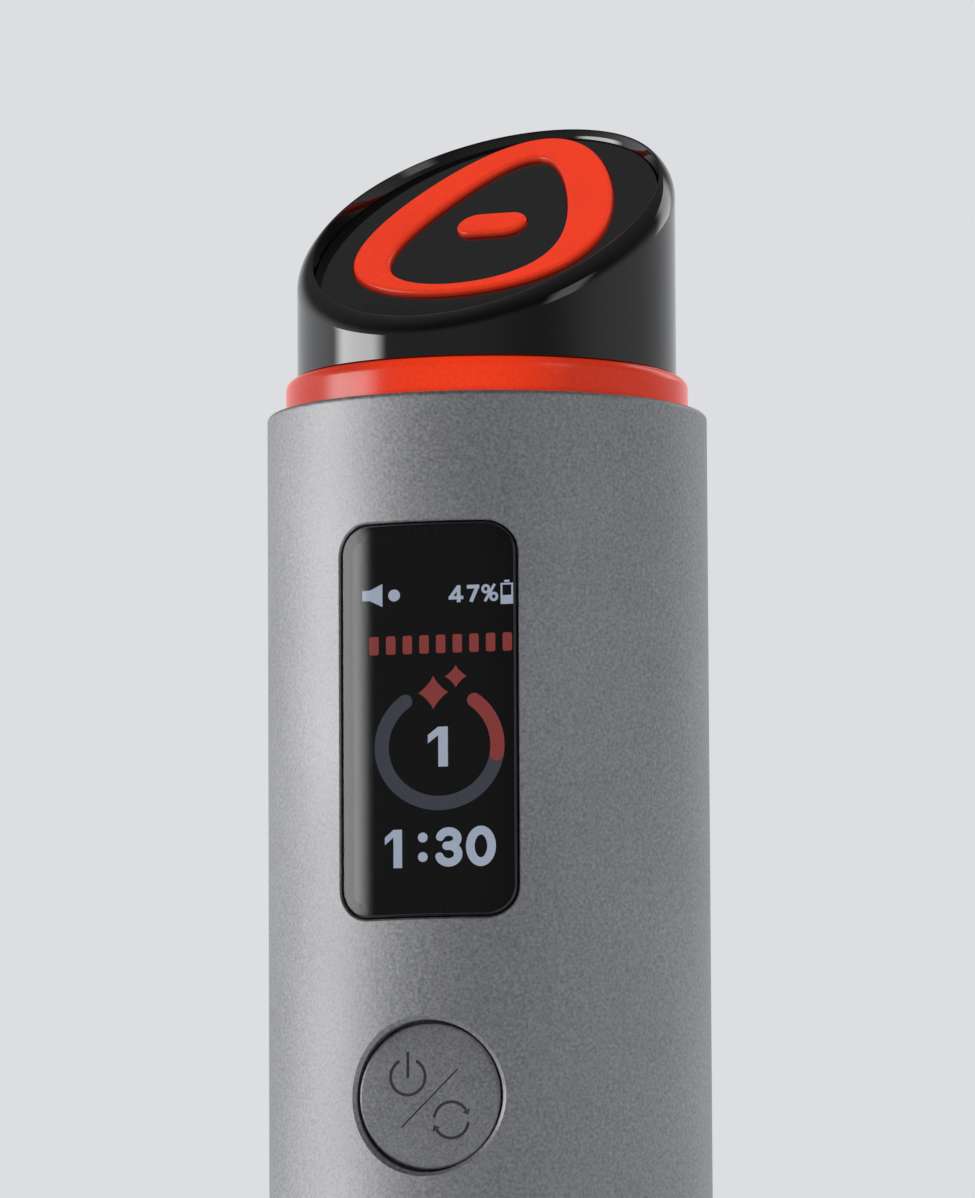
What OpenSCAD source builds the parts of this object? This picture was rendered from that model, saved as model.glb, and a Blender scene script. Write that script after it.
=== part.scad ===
// Upright facial massager: an aluminium tube with a display and one button, under a slanted head
// with a lit teardrop. Millimetres, +Z up, the display faces -Y, the foot rests on z = 0.

/* [Body tube] */
// Outer diameter of the aluminium tube
body_d = 33; // [32.5:0.5:35]
// Wall of the aluminium tube
body_wall = 1.2; // [1.1:0.1:1.4]
// Length of the aluminium tube
tube_h = 118; // [117:1:130]
// Rounding of the tube's top rim
rim_round = 0.8; // [0.3:0.1:0.9]
// Gap between the tube's bore and what slides into it
bore_gap = 0.1; // [0.05:0.05:0.2]

/* [Base] */
// Height of the end cap and foot below the tube
base_h = 4; // [3.5:0.5:6]
// Rounding of the end cap's lower edge
base_round = 1.2; // [0.5:0.1:1.5]
// Thickness of the end cap's floor
base_floor = 2; // [1.8:0.1:2.4]
// Length of the cap's spigot inside the tube
spigot_h = 6; // [5.5:0.5:8]
// Wall of the spigot
spigot_wall = 1.5; // [1.2:0.1:2]
// How far the foot ring stands out of the cap
foot_proud = 0.5; // [0.3:0.1:0.8]
// How deep the foot ring sits in the cap
foot_seat = 0.8; // [0.6:0.1:0.9]
// Distance from the tube's side to the middle of the foot ring
foot_inset = 5.5; // [5.3:0.1:5.7]
// Width of the foot ring
foot_w = 4.6; // [4.2:0.1:4.8]

/* [Charging inlet] */
// Long side of the inlet's metal shell
port_w = 8.94; // [8.8:0.02:9]
// Short side of the inlet's metal shell
port_t = 3.26; // [3.1:0.02:3.3]
// Wall of the inlet's metal shell
port_wall = 0.3; // [0.2:0.05:0.4]
// Depth of the inlet's mouth in the cap
port_sink = 0.5; // [0.3:0.1:0.8]
// Gap between the inlet and the cap
port_gap = 0.13; // [0.1:0.01:0.2]
// Gap between the charging board and the cap's screw columns
charge_gap = 0.6; // [0.5:0.1:0.9]

/* [Inner frame] */
// Wall of the frame's back shell
frame_wall = 1; // [0.8:0.1:1.2]
// Thickness of the frame's end plates
plate_t = 2; // [1.8:0.1:2.1]
// Height of the screw bosses on the lower plate
boss_h = 4; // [3:0.5:5]
// Thickness of the shelves in the frame
shelf_t = 1.4; // [1:0.1:2]
// Width of the two rails that carry the board
rail_w = 4; // [3.5:0.1:4.4]

/* [Circuit board] */
// Gap between the circuit board's edges and the frame's outline
board_margin = 1.5; // [1.3:0.1:2]
// Thickness of every circuit board
board_t = 1.2; // [1:0.1:1.4]
// Height of the chips on the back of the board
chip_h = 1; // [0.8:0.1:1.3]

/* [Display] */
// Width of the display glass across the tube
glass_w = 13.4; // [13.1:0.1:14.2]
// Height of the display glass
glass_h = 28.9; // [27.4:0.1:30]
// Corner radius of the display glass
glass_r = 2.2; // [1.5:0.1:3]
// Thickness of the display glass
glass_t = 1; // [0.8:0.1:1]
// Gap between the glass and its window in the tube
glass_gap = 0.12; // [0.08:0.01:0.2]
// Distance from the tube's rim down to the middle of the glass
glass_drop = 24.2; // [24:0.1:28]
// Width of the display panel
panel_w = 12.4; // [11.5:0.1:12.6]
// Height of the display panel
panel_h = 26.6; // [25:0.1:27]
// Thickness of the display panel
panel_t = 1.8; // [1.2:0.1:2.2]

/* [Button] */
// Diameter of the button
button_d = 10.8; // [10.4:0.1:11.4]
// Gap between the button and its hole in the tube
button_gap = 0.18; // [0.12:0.01:0.25]
// Distance from the tube's rim down to the middle of the button
button_drop = 51.75; // [51.5:0.25:56]
// How far the button's flat face lies below the sides of its hole
button_sink = 0.2; // [0.1:0.05:0.3]
// Bevel of the button's edge
button_bevel = 0.25; // [0.1:0.05:0.35]
// Travel of the button
button_travel = 0.5; // [0.3:0.05:0.6]
// Width of the flange that holds the button in the tube
flange_w = 0.9; // [0.7:0.1:1]
// Thickness of the button's flange
flange_t = 1.2; // [1:0.1:1.4]
// Thickness of the silicone pad under the button
pad_t = 1; // [0.8:0.1:1.2]
// Running gap of the button's flange in its guide
guide_gap = 0.08; // [0.05:0.01:0.1]
// Wall of the button's guide
guide_wall = 1; // [0.8:0.1:1.2]

/* [Switch] */
// Side of the square switch
switch_w = 6; // [5.6:0.1:6]
// Height of the switch without its plunger
switch_h = 3.5; // [3.3:0.1:3.8]
// Radius of the switch's plunger
plunger_r = 1.7; // [1.4:0.1:1.9]
// How far the plunger stands out of the switch
plunger_out = 0.9; // [0.8:0.1:1.2]

/* [Battery] */
// Room between the battery cell and the chips behind the board
cell_room = 0.8; // [0.6:0.1:1]
// Thickness of the foam under the cell
foam_t = 1; // [0.8:0.1:1.5]
// Gap round the cell in its cradles
cell_gap = 0.15; // [0.1:0.05:0.2]

/* [Speaker] */
// Diameter of the speaker
speaker_d = 12; // [10:0.5:12.5]
// Thickness of the speaker
speaker_t = 3; // [2.5:0.1:3.5]

/* [Vibration motor] */
// Diameter of the motor's can
motor_d = 8; // [7:0.5:9]
// Length of the motor's can
motor_l = 12; // [10:0.5:13]
// Thickness of the motor's rubber boot
boot_t = 1; // [0.8:0.1:1.2]
// Radius of the motor's shaft
shaft_r = 0.5; // [0.4:0.05:0.75]
// Distance from the tube's axis back to the motor's
motor_back = 5; // [4.5:0.25:5.5]
// Room between the motor's weight and the top plate
motor_room = 10; // [6:1:12]
// Running gap of the shaft
shaft_gap = 0.05; // [0.03:0.01:0.08]
// Radius of the lopsided weight
weight_r = 4; // [3.5:0.1:4.5]
// Length of the lopsided weight
weight_l = 5; // [4:0.5:5.5]

/* [Neck] */
// Gap between the lit ring and the tube's bore
light_gap = 0.2; // [0.15:0.05:0.5]
// How far the lit ring stands above the tube's rim
light_rise = 2.75; // [2:0.25:3.25]
// Rounding of the lit ring's top edge
light_round = 0.8; // [0.4:0.1:1]
// Width of the lit ring and the gap inside it
light_w = 2.9; // [2.8:0.1:3]
// Wall of the head's spigot
neck_wall = 1.4; // [1.2:0.1:1.6]
// Depth of the neck plate's top below the tube's rim
neck_sink = 2.4; // [2.2:0.1:2.6]
// Radius of the section of both seals
seal_r = 0.5; // [0.4:0.05:0.55]

/* [Head] */
// How far the head's side lies inside the tube's
head_inset = 2.25; // [2:0.05:2.5]
// Wall of the head
head_wall = 1.2; // [1:0.1:1.4]
// How far the head is turned from the display, towards -X
head_turn = 6; // [0:0.5:8]
// Tilt of the face from level
face_tilt = 35.5; // [34.5:0.5:36.5]
// Height of the face over the tube's rim, at the axis
face_mid = 15.5; // [15.2:0.1:16.5]
// Rounding of the lip round the face
lip_round = 1.8; // [1.2:0.1:2]
// Depth of the face panel below the lip
face_sink = 1.35; // [1.1:0.05:1.5]
// Thickness of the face panel
face_t = 1.4; // [1.2:0.1:1.6]
// Thickness of the web inside the head's shoulder
shoulder_t = 1.5; // [1.2:0.1:1.6]

/* [Lit teardrop] */
// Length of the lit teardrop, as a share of the head's diameter
drop_len = 0.876; // [0.85:0.002:0.88]
// Half width of the teardrop before its point draws it in, as a share of the head's radius
drop_w = 0.6745; // [0.65:0.0005:0.69]
// How much shorter than half its length the outline inside the lit band is
band_len = 2.25; // [2.1:0.05:2.6]
// How much narrower than half its width the outline inside the lit band is
band_w = 3.35; // [3.1:0.05:3.6]
// How far the lit pieces stand out of the face panel
lit_proud = 0.45; // [0.3:0.05:0.6]
// Rounding of the top edges of the lit pieces
lit_round = 0.35; // [0.2:0.05:0.4]
// Gap between the lit pieces and the panel
lit_gap = 0.06; // [0.04:0.01:0.1]
// Thickness of the flange under the lit pieces
lit_flange = 0.8; // [0.6:0.1:0.9]
// Length of the lit pill
pill_l = 5.5; // [4.8:0.1:5.8]
// Width of the lit pill
pill_w = 3.1; // [2.6:0.1:3.3]
// Depth of the light box behind the face
baffle_h = 2; // [1.8:0.1:2.1]

/* [Screws] */
// Radius of the screws
screw_r = 0.95; // [0.8:0.05:1]
// Radius of the screws' heads
screw_head_r = 1.8; // [1.6:0.1:1.9]
// Height of the screws' heads
screw_head_h = 1; // [0.8:0.1:1.1]

/* [Hidden] */
$fn = 96;
slip = 0.05;                // gap of a part that is slipped on or into another
hole_slip = 0.1;            // extra radius of a hole that a screw passes through
cut = 1;                    // how far a cutting shape runs past what it cuts
reach = 60;                 // size of the blocks that trim the head

// radii from the tube inwards
body_r = body_d / 2;
bore_r = body_r - body_wall;
sled_r = bore_r - bore_gap;
glass_back_r = body_r - glass_t;
head_r = body_r - head_inset;
head_bore = head_r - head_wall;
foot_mid_r = body_r - foot_inset;

// heights from the foot upwards
rim_z = base_h + tube_h;
cap_z = foot_proud;
frame_z0 = base_h + spigot_h + 0.2;
neck_z = rim_z - neck_sink;
frame_z1 = neck_z - plate_t;
glass_z = rim_z - glass_drop;
button_z = rim_z - button_drop;
head_z = rim_z + light_rise;

// the button's stack, from its face inwards along +Y
button_r = button_d / 2;
button_hole_r = button_r + button_gap;
button_face = -(sqrt(body_r * body_r - button_hole_r * button_hole_r) - button_sink);
flange_r = button_r + flange_w;
flange_y = -(sqrt(bore_r * bore_r - flange_r * flange_r) - 0.25);
pad_y = flange_y + flange_t;
plunger_y = pad_y + pad_t;
switch_y = plunger_y + plunger_out;
board_y = switch_y + switch_h;
board_back = board_y + board_t;
guide_r = flange_r + guide_gap;
guide_out = guide_r + guide_wall;
guide_y = -(sqrt(bore_r * bore_r - guide_out * guide_out) - 0.2);
guide_stop = pad_y + button_travel + slip;
switch_room = switch_w * 0.72;
pad_r = 2.2;

// the display's stack
panel_y = -(sqrt(glass_back_r * glass_back_r - panel_w * panel_w / 4) - 0.5);
panel_back = panel_y + panel_t;
bezel_side = 1.5;           // how far the bezel reaches past the glass
bezel_wall = 1.2;
bezel_w = glass_w + 2 * bezel_side;
bezel_h = glass_h + 2 * bezel_side;

// the neck and the head's screws
light_r = bore_r - light_gap;
neck_r = light_r - light_w;
light_bore = neck_r + 0.15;
led_h = 0.7;
led_w = 1.6;
led_t = 0.9;
skirt_z = neck_z + board_t;
channel_h = led_h + 0.1;
neck_led_n = 12;
cable_r = neck_r / 3;
boss_r = 2.2;
boss_ring = neck_r - neck_wall - boss_r + 0.3;
pilot_deep = 5;

// the motor and the speaker, from the top plate downwards
seat_wall = 1;
shaft_in = 4;               // how deep the shaft runs into the motor
nose_h = 0.7;
nose_gap = 0.8;
motor_r = motor_d / 2;
boot_r = motor_r + boot_t;
motor_y = motor_back;
weight_z = frame_z1 - plate_t - motor_room - weight_l;
motor_z = weight_z - nose_gap - nose_h - motor_l;
speaker_z = motor_z - 2 * seat_wall - shelf_t - speaker_d / 2;
speaker_y = sqrt(pow(sled_r - frame_wall, 2) - speaker_d * speaker_d / 4) - speaker_t - 0.3;

// the battery bay below them, behind the board
board_w = 2 * (sqrt(sled_r * sled_r - board_y * board_y) - board_margin);
bay_y = board_back + rail_w / 2 - 0.4;
bay_z = frame_z0 + plate_t + boss_h;
shelf_z = speaker_z - speaker_d / 2 - seat_wall - 0.4 - shelf_t;
cell_play = 0.2;
cell_front = board_back + chip_h + cell_room;
cell_r = (sled_r - frame_wall - cell_play - cell_front) / 2;
cell_y = cell_front + cell_r;
cell_z = bay_z + shelf_t + foam_t;
cell_l = shelf_z - 1.5 * cell_play - cell_z;
rail_x = board_w / 2 - 2.4;
board_z0 = bay_z + shelf_t;
board_z1 = frame_z1 - plate_t - screw_head_h - 0.6;
board_screw_x = board_w / 2 - 1.2;
board_screw_l = board_t + rail_w / 2;
board_screw_z = [board_z0 + 3, (board_z0 + board_z1) / 2, board_z1 - 3];
chip_zone = button_z - guide_out - 2 - board_z0;
wire_r = 2.5;

// the charging inlet stands on its board, under the frame's lower plate
charge_z = frame_z0 - board_t;
port_z = cap_z + port_sink;
port_l = charge_z - port_z;
charge_r = foot_mid_r - boss_r - charge_gap;
charge_screw_y = charge_r - 1.7;
tongue_w = port_w - 2.3;

// the face, in its own tilted frame
face_low = face_sink + face_t;
baffle_low = face_low + lit_flange + baffle_h;
led_low = baffle_low + board_t;
baffle_floor = 0.4;
face_led_n = 14;
ledge_w = 0.75;
ledge_t = 1.4;
pill_y = 0.5;
drop_points = 72;
// each outline is [half width, point, squareness, half length, middle, flatness]
drawn_r = 14.25;             // the head's radius that the middles were drawn for
outer_mid = 1.59 * head_r / drawn_r;
inner_mid = 0.67 * head_r / drawn_r;
drop_flat = 0.3 * head_r / drawn_r;
outer = [drop_w * head_r, 0.139, 0.018, drop_len * head_r, outer_mid, drop_flat];
inner = [outer[0] - band_w, 0.198, 0.02, outer[3] - band_len, inner_mid, drop_flat];

// Point of a teardrop outline at angle t from its tip, the way round that keeps it counter-clockwise
function drop_at(o, t) = [
    -o[0] * (sin(t) - o[1] * sin(2 * t) + o[2] * sin(3 * t)),
    o[4] + o[3] * cos(t) + o[5] * cos(2 * t)
];

// Teardrop outline moved outwards by grow
function drop(o, grow, n = drop_points) = [
    for (k = [0:n - 1])
        let (t = k * 360 / n, p = drop_at(o, t), run = drop_at(o, t + 0.5) - drop_at(o, t - 0.5))
            p + grow * [run.y, -run.x] / norm(run)
];

function lift(outline, z) = [for (p = outline) [p.x, p.y, z]];

// Faces between the loops of points in a loft, m loops of n points
function loft_sides(n, m, closed) = [
    for (j = [0:closed ? m - 1 : m - 2], i = [0:n - 1])
        let (a = j * n, b = ((j + 1) % m) * n, k = (i + 1) % n)
            [a + i, b + i, b + k, a + k]
];

module loft(loops, closed = false) {
    n = len(loops[0]);
    m = len(loops);
    ends = closed ? [] : [[for (i = [0:n - 1]) i], [for (i = [n - 1:-1:0]) (m - 1) * n + i]];
    polyhedron(points = [for (l = loops) each l], faces = concat(loft_sides(n, m, closed), ends));
}

module pipe(outer_r, inner_r, h) {
    difference() {
        cylinder(r = outer_r, h = h);
        translate([0, 0, -cut]) cylinder(r = inner_r, h = h + 2 * cut);
    }
}

// Puts a shape's own +Z along +Y, at height z
module facing_back(z, y) {
    translate([0, y, z]) rotate([-90, 0, 0]) children();
}

// Puts a flat shape at a depth below the lip of the slanted face
module at_face(depth) {
    translate([0, 0, rim_z + face_mid]) rotate([0, 0, -head_turn]) rotate([face_tilt, 0, 0])
        translate([0, 0, -depth]) children();
}

module rounded_rect(w, h, r) {
    union() {
        square([w - 2 * r, h], center = true);
        square([w, h - 2 * r], center = true);
        for (x = [-1, 1], y = [-1, 1]) translate([x * (w / 2 - r), y * (h / 2 - r)]) circle(r = r);
    }
}

module stadium(l, w) {
    union() {
        square([l - w, w], center = true);
        for (x = [-1, 1]) translate([x * (l - w) / 2, 0]) circle(r = w / 2);
    }
}

// Profile for a turned piece, from the axis out to r, with a rounded top corner
module turned_profile(r, h, corner) {
    union() {
        square([r - corner, h]);
        square([r, h - corner]);
        translate([r - corner, h - corner]) circle(r = corner);
    }
}

// Block along Y through the display's place, w wide and h high with rounded corners
module window_block(w, h, r, y0, y1) {
    facing_back(glass_z, y0) linear_extrude(y1 - y0) rounded_rect(w, h, r);
}

module three_round(ring_r, turn) {
    for (a = [0:120:240]) rotate([0, 0, a + turn]) translate([ring_r, 0, 0]) children();
}

// Screw with its head up at the origin and its shank below
module screw(shank) {
    union() {
        cylinder(r = screw_head_r, h = screw_head_h);
        translate([0, 0, -shank]) cylinder(r = screw_r, h = shank + screw_head_h / 2);
    }
}

module body_tube() {
    color("silver")
    difference() {
        translate([0, 0, base_h]) rotate_extrude() difference() {
            turned_profile(body_r, tube_h, rim_round);
            translate([0, -cut]) square([bore_r, tube_h + 2 * cut]);
        }
        window_block(glass_w + 2 * glass_gap, glass_h + 2 * glass_gap, glass_r + glass_gap,
            -body_r - cut, 0);
        facing_back(button_z, -body_r - cut) cylinder(r = button_hole_r, h = body_r);
    }
}

module display_glass() {
    color("black")
    intersection() {
        window_block(glass_w, glass_h, glass_r, -body_r - cut, 0);
        translate([0, 0, glass_z - glass_h]) pipe(body_r, glass_back_r, 2 * glass_h);
    }
}

module glass_gasket() {
    color("dimgray")
    difference() {
        intersection() {
            window_block(glass_w, glass_h, glass_r, -body_r, 0);
            translate([0, 0, glass_z - glass_h]) pipe(glass_back_r, sled_r, 2 * glass_h);
        }
        window_block(panel_w, panel_h, glass_r / 2, -body_r - cut, cut);
    }
}

module display_panel() {
    color("midnightblue")
    window_block(panel_w - 2 * slip, panel_h - 2 * slip, 0.5, panel_y, panel_back);
}

module display_bezel() {
    color("dimgray")
    difference() {
        intersection() {
            window_block(bezel_w, bezel_h, glass_r, -body_r, board_y);
            translate([0, 0, glass_z - glass_h]) cylinder(r = sled_r, h = 2 * glass_h);
        }
        window_block(panel_w, panel_h, 0.5, -body_r - cut, panel_back);
        window_block(panel_w - 1.6, panel_h - 1.6, 0.5, -body_r, board_y + cut);
        window_block(bezel_w - 2 * bezel_wall, bezel_h - 2 * bezel_wall, glass_r / 2,
            panel_back + bezel_wall, board_y + cut);
    }
}

module button_cap() {
    color("silver")
    union() {
        facing_back(button_z, pad_y) mirror([0, 0, 1]) rotate_extrude() difference() {
            square([button_r, pad_y - button_face]);
            translate([button_r, pad_y - button_face]) rotate([0, 0, 45])
                square(button_bevel * sqrt(2), center = true);
        }
        facing_back(button_z, flange_y) cylinder(r = flange_r, h = flange_t);
    }
}

module button_pad() {
    color("white")
    facing_back(button_z, pad_y) cylinder(r = pad_r, h = pad_t);
}

module switch_plunger() {
    color("darkred")
    facing_back(button_z, plunger_y) cylinder(r = plunger_r, h = plunger_out + switch_h / 2 - 0.5);
}

module tact_switch() {
    color("gray")
    difference() {
        facing_back(button_z, switch_y) translate([-switch_w / 2, -switch_w / 2, 0])
            cube([switch_w, switch_w, switch_h]);
        facing_back(button_z, switch_y - cut)
            cylinder(r = plunger_r + guide_gap, h = cut + switch_h / 2 + button_travel);
    }
}

module button_guide() {
    color("dimgray")
    difference() {
        union() {
            facing_back(button_z, guide_y) cylinder(r = guide_out, h = board_y - guide_y);
            facing_back(button_z, board_y - guide_wall) cylinder(r = guide_out + 0.8, h = guide_wall);
        }
        facing_back(button_z, guide_y - cut) cylinder(r = guide_r, h = guide_stop - guide_y + cut);
        facing_back(button_z, guide_y) cylinder(r = switch_room, h = board_y - guide_y + cut);
    }
}

// Everything inside the frame's outline and behind the plane y = from
module frame_slice(from, z, h) {
    intersection() {
        translate([0, 0, z]) cylinder(r = sled_r, h = h);
        translate([-sled_r, from, z]) cube([2 * sled_r, 2 * sled_r, h]);
    }
}

module frame_shell() {
    difference() {
        frame_slice(board_back, frame_z0, frame_z1 - frame_z0);
        translate([0, 0, frame_z0 - cut])
            cylinder(r = sled_r - frame_wall, h = frame_z1 - frame_z0 + 2 * cut);
    }
}

module frame_rails() {
    for (side = [-1, 1]) intersection() {
        frame_slice(board_back, frame_z0, frame_z1 - frame_z0);
        translate([side > 0 ? rail_x : -rail_x - sled_r, board_back, frame_z0])
            cube([sled_r, rail_w / 2, frame_z1 - frame_z0]);
    }
}

// Rib with a round seat for the battery
module cell_cradle(z) {
    difference() {
        frame_slice(cell_y - 1, z, shelf_t);
        translate([0, cell_y, z - cut]) cylinder(r = cell_r + cell_gap, h = shelf_t + 2 * cut);
    }
}

// Rib with a bore for the motor's boot
module motor_cradle(z) {
    difference() {
        intersection() {
            frame_slice(motor_y - boot_r - seat_wall, z, shelf_t);
            translate([-boot_r - 2, -sled_r, z]) cube([2 * boot_r + 4, 2 * sled_r, shelf_t]);
        }
        translate([0, motor_y, z - cut]) cylinder(r = boot_r, h = shelf_t + 2 * cut);
    }
}

module speaker_seat() {
    difference() {
        intersection() {
            facing_back(speaker_z, speaker_y)
                cylinder(r = speaker_d / 2 + slip + seat_wall, h = sled_r);
            translate([0, 0, speaker_z - speaker_d]) cylinder(r = sled_r, h = 2 * speaker_d);
        }
        facing_back(speaker_z, speaker_y - cut) cylinder(r = speaker_d / 2 + slip, h = speaker_t + cut);
        facing_back(speaker_z, speaker_y)
            cylinder(r = speaker_d / 2 - seat_wall, h = sled_r - frame_wall / 2 - speaker_y);
    }
}

module inner_frame() {
    color("dimgray")
    difference() {
        union() {
            frame_shell();
            frame_rails();
            translate([0, 0, frame_z0]) cylinder(r = sled_r, h = plate_t);
            translate([0, 0, frame_z1 - plate_t]) cylinder(r = sled_r, h = plate_t);
            translate([0, 0, frame_z0]) three_round(foot_mid_r, 90)
                cylinder(r = boss_r, h = plate_t + boss_h + shelf_t / 2);
            frame_slice(bay_y, bay_z, shelf_t);
            frame_slice(bay_y, shelf_z, shelf_t);
            cell_cradle(cell_z + cell_l / 4);
            cell_cradle(cell_z + cell_l * 3 / 4);
            speaker_seat();
            motor_cradle(motor_z + 1);
            motor_cradle(motor_z + motor_l - 1 - shelf_t);
        }
        translate([0, 0, frame_z0 - cut]) three_round(foot_mid_r, 90)
            cylinder(r = screw_r + slip, h = plate_t + boss_h);
        for (y = [-1, 1]) translate([0, y * charge_screw_y, frame_z0 - cut])
            cylinder(r = screw_r + slip, h = plate_t + 2 * cut);
        for (z = [frame_z0, bay_z, shelf_z]) translate([0, 0, z - cut])
            cylinder(r = wire_r, h = plate_t + 2 * cut);
        translate([0, 0, frame_z1 - plate_t - cut]) cylinder(r = cable_r, h = plate_t + 2 * cut);
        translate([0, 0, frame_z1 - plate_t - cut]) three_round(boss_ring, 30)
            cylinder(r = screw_r + hole_slip, h = plate_t + 2 * cut);
        for (x = [-1, 1], z = board_screw_z) facing_back(z, board_back - cut)
            translate([x * board_screw_x, 0, 0]) cylinder(r = screw_r + slip, h = rail_w / 2 + 2 * cut);
    }
}

module main_board() {
    color("darkgreen")
    difference() {
        facing_back((board_z0 + board_z1) / 2, board_y) linear_extrude(board_t)
            rounded_rect(board_w, board_z1 - board_z0, 1);
        for (x = [-1, 1], z = board_screw_z) facing_back(z, board_y - cut)
            translate([x * board_screw_x, 0, 0]) cylinder(r = screw_r + hole_slip, h = board_t + 2 * cut);
    }
}

// Chips as [x, height in its zone, width, height, thickness]. Widths and heights are shares of the
// board's width, the height in the zone is a share of that zone, and the thickness one of chip_h.
back_chips = [[-0.17, 0.3, 0.3, 0.3, 0.9], [0.2, 0.36, 0.17, 0.2, 0.7], [0, 0.12, 0.2, 0.17, 0.9],
    [-0.2, 0.86, 0.24, 0.17, 0.9], [0.2, 0.82, 0.17, 0.17, 0.7]];
front_chips = [[-0.25, 0.08, 0.24, 0.17, 2], [0.25, 0.1, 0.2, 0.2, 1.2], [0.2, 0.56, 0.3, 0.3, 1],
    [-0.25, 0.5, 0.17, 0.32, 1.5], [-0.25, 0.86, 0.2, 0.1, 1]];
can_r = 3.6;                // radius of the round capacitor

module chip(c, zone) {
    translate([(c[0] - c[2] / 2) * board_w, 0, board_z0 + c[1] * zone])
        cube([c[2] * board_w, c[4] * chip_h, c[3] * board_w]);
}

module board_chips() {
    color("black")
    union() {
        translate([0, board_back, 0]) for (c = back_chips) chip(c, board_z1 - board_z0);
        translate([0, board_y, 0]) mirror([0, 1, 0]) for (c = front_chips) chip(c, chip_zone);
        facing_back(board_z0 + chip_zone * 0.35, board_y - can_r) cylinder(r = can_r, h = can_r);
    }
}

module board_screws() {
    color("gray")
    for (x = [-1, 1], z = board_screw_z)
        facing_back(z, board_y) translate([x * board_screw_x, 0, 0])
            mirror([0, 0, 1]) screw(board_screw_l);
}

module battery_cell() {
    color("royalblue")
    translate([0, cell_y, cell_z]) union() {
        cylinder(r = cell_r, h = cell_l - 1.2);
        translate([0, 0, cell_l - 1.5]) cylinder(r = cell_r * 0.35, h = 1.5);
    }
}

module battery_foam() {
    color("gainsboro")
    translate([0, cell_y, bay_z + shelf_t]) cylinder(r = cell_r - 0.5, h = foam_t);
}

module speaker() {
    color("black")
    difference() {
        facing_back(speaker_z, speaker_y) cylinder(r = speaker_d / 2, h = speaker_t);
        facing_back(speaker_z, speaker_y - cut) cylinder(r = speaker_d * 0.38, h = cut + 0.6);
    }
}

module motor_can() {
    color("silver")
    translate([0, motor_y, motor_z]) difference() {
        union() {
            cylinder(r = motor_r, h = motor_l);
            cylinder(r = shaft_r + 1, h = motor_l + nose_h);
        }
        translate([0, 0, motor_l + nose_h - shaft_in])
            cylinder(r = shaft_r + shaft_gap, h = shaft_in + cut);
    }
}

module motor_boot() {
    color("black")
    translate([0, motor_y, motor_z + 0.5]) pipe(boot_r, motor_r, motor_l - 1);
}

module motor_rotor() {
    color("gray")
    translate([0, motor_y, 0]) union() {
        translate([0, 0, motor_z + motor_l + nose_h - shaft_in + slip])
            cylinder(r = shaft_r, h = nose_gap + weight_l + shaft_in - slip);
        translate([0, 0, weight_z]) difference() {
            cylinder(r = weight_r, h = weight_l);
            translate([-weight_r - cut, shaft_r + 0.6, -cut])
                cube([2 * weight_r + 2 * cut, weight_r, weight_l + 2 * cut]);
        }
    }
}

module base_cap() {
    color("black")
    difference() {
        union() {
            difference() {
                union() {
                    translate([0, 0, base_h]) mirror([0, 0, 1]) rotate_extrude()
                        turned_profile(body_r, base_h - cap_z, base_round);
                    translate([0, 0, cap_z]) cylinder(r = sled_r, h = base_h - cap_z + spigot_h);
                }
                translate([0, 0, cap_z + base_floor])
                    cylinder(r = sled_r - spigot_wall, h = base_h + spigot_h);
            }
            translate([0, 0, cap_z + 1]) three_round(foot_mid_r, 90)
                cylinder(r = boss_r, h = frame_z0 - cap_z - 1);
        }
        translate([0, 0, cap_z - cut]) pipe(foot_mid_r + foot_w / 2 + slip,
            foot_mid_r - foot_w / 2 - slip, foot_seat + cut);
        translate([0, 0, cap_z - cut]) linear_extrude(base_floor + 2 * cut)
            stadium(port_w + 2 * port_gap, port_t + 2 * port_gap);
        three_round(foot_mid_r, 90) cylinder(r = screw_r + hole_slip, h = frame_z0 + cut);
        three_round(foot_mid_r, 90) cylinder(r = screw_head_r + hole_slip,
            h = cap_z + foot_seat + screw_head_h + hole_slip);
        translate([0, 0, base_h + spigot_h / 2 - seal_r])
            pipe(sled_r + cut, bore_r - 2 * seal_r, 2 * seal_r);
    }
}

// Ring seal that fills the gap between a groove and the tube's bore
module seal(z) {
    translate([0, 0, z]) rotate_extrude() translate([bore_r - seal_r, 0]) circle(r = seal_r - 0.01);
}

module base_seal() {
    color("darkred") seal(base_h + spigot_h / 2);
}

module base_foot() {
    color("dimgray")
    translate([0, 0, cap_z + foot_seat]) mirror([0, 0, 1]) rotate_extrude()
        translate([foot_mid_r, 0]) union() {
            for (side = [0, 1]) mirror([side, 0]) turned_profile(foot_w / 2, foot_proud + foot_seat, 0.3);
        }
}

module base_screws() {
    color("gray")
    translate([0, 0, cap_z + foot_seat + screw_head_h]) three_round(foot_mid_r, 90)
        mirror([0, 0, 1]) screw(frame_z0 + plate_t + boss_h / 2 - cap_z - foot_seat - screw_head_h);
}

module charge_port() {
    color("silver")
    union() {
        translate([0, 0, port_z]) linear_extrude(port_l) difference() {
            stadium(port_w, port_t);
            stadium(port_w - 2 * port_wall, port_t - 2 * port_wall);
        }
        translate([0, 0, charge_z - 1.5]) linear_extrude(1.5) stadium(port_w, port_t);
        translate([0, 0, port_z + 0.8]) linear_extrude(port_l - 0.8)
            square([tongue_w, 0.7], center = true);
    }
}

module charge_board() {
    color("darkgreen")
    translate([0, 0, charge_z]) difference() {
        cylinder(r = charge_r, h = board_t);
        for (y = [-1, 1]) translate([0, y * charge_screw_y, -cut])
            cylinder(r = screw_r + hole_slip, h = board_t + 2 * cut);
    }
}

module charge_board_screws() {
    color("gray")
    for (y = [-1, 1]) translate([0, y * charge_screw_y, charge_z]) mirror([0, 0, 1])
        screw(board_t + plate_t + 1);
}

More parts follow.
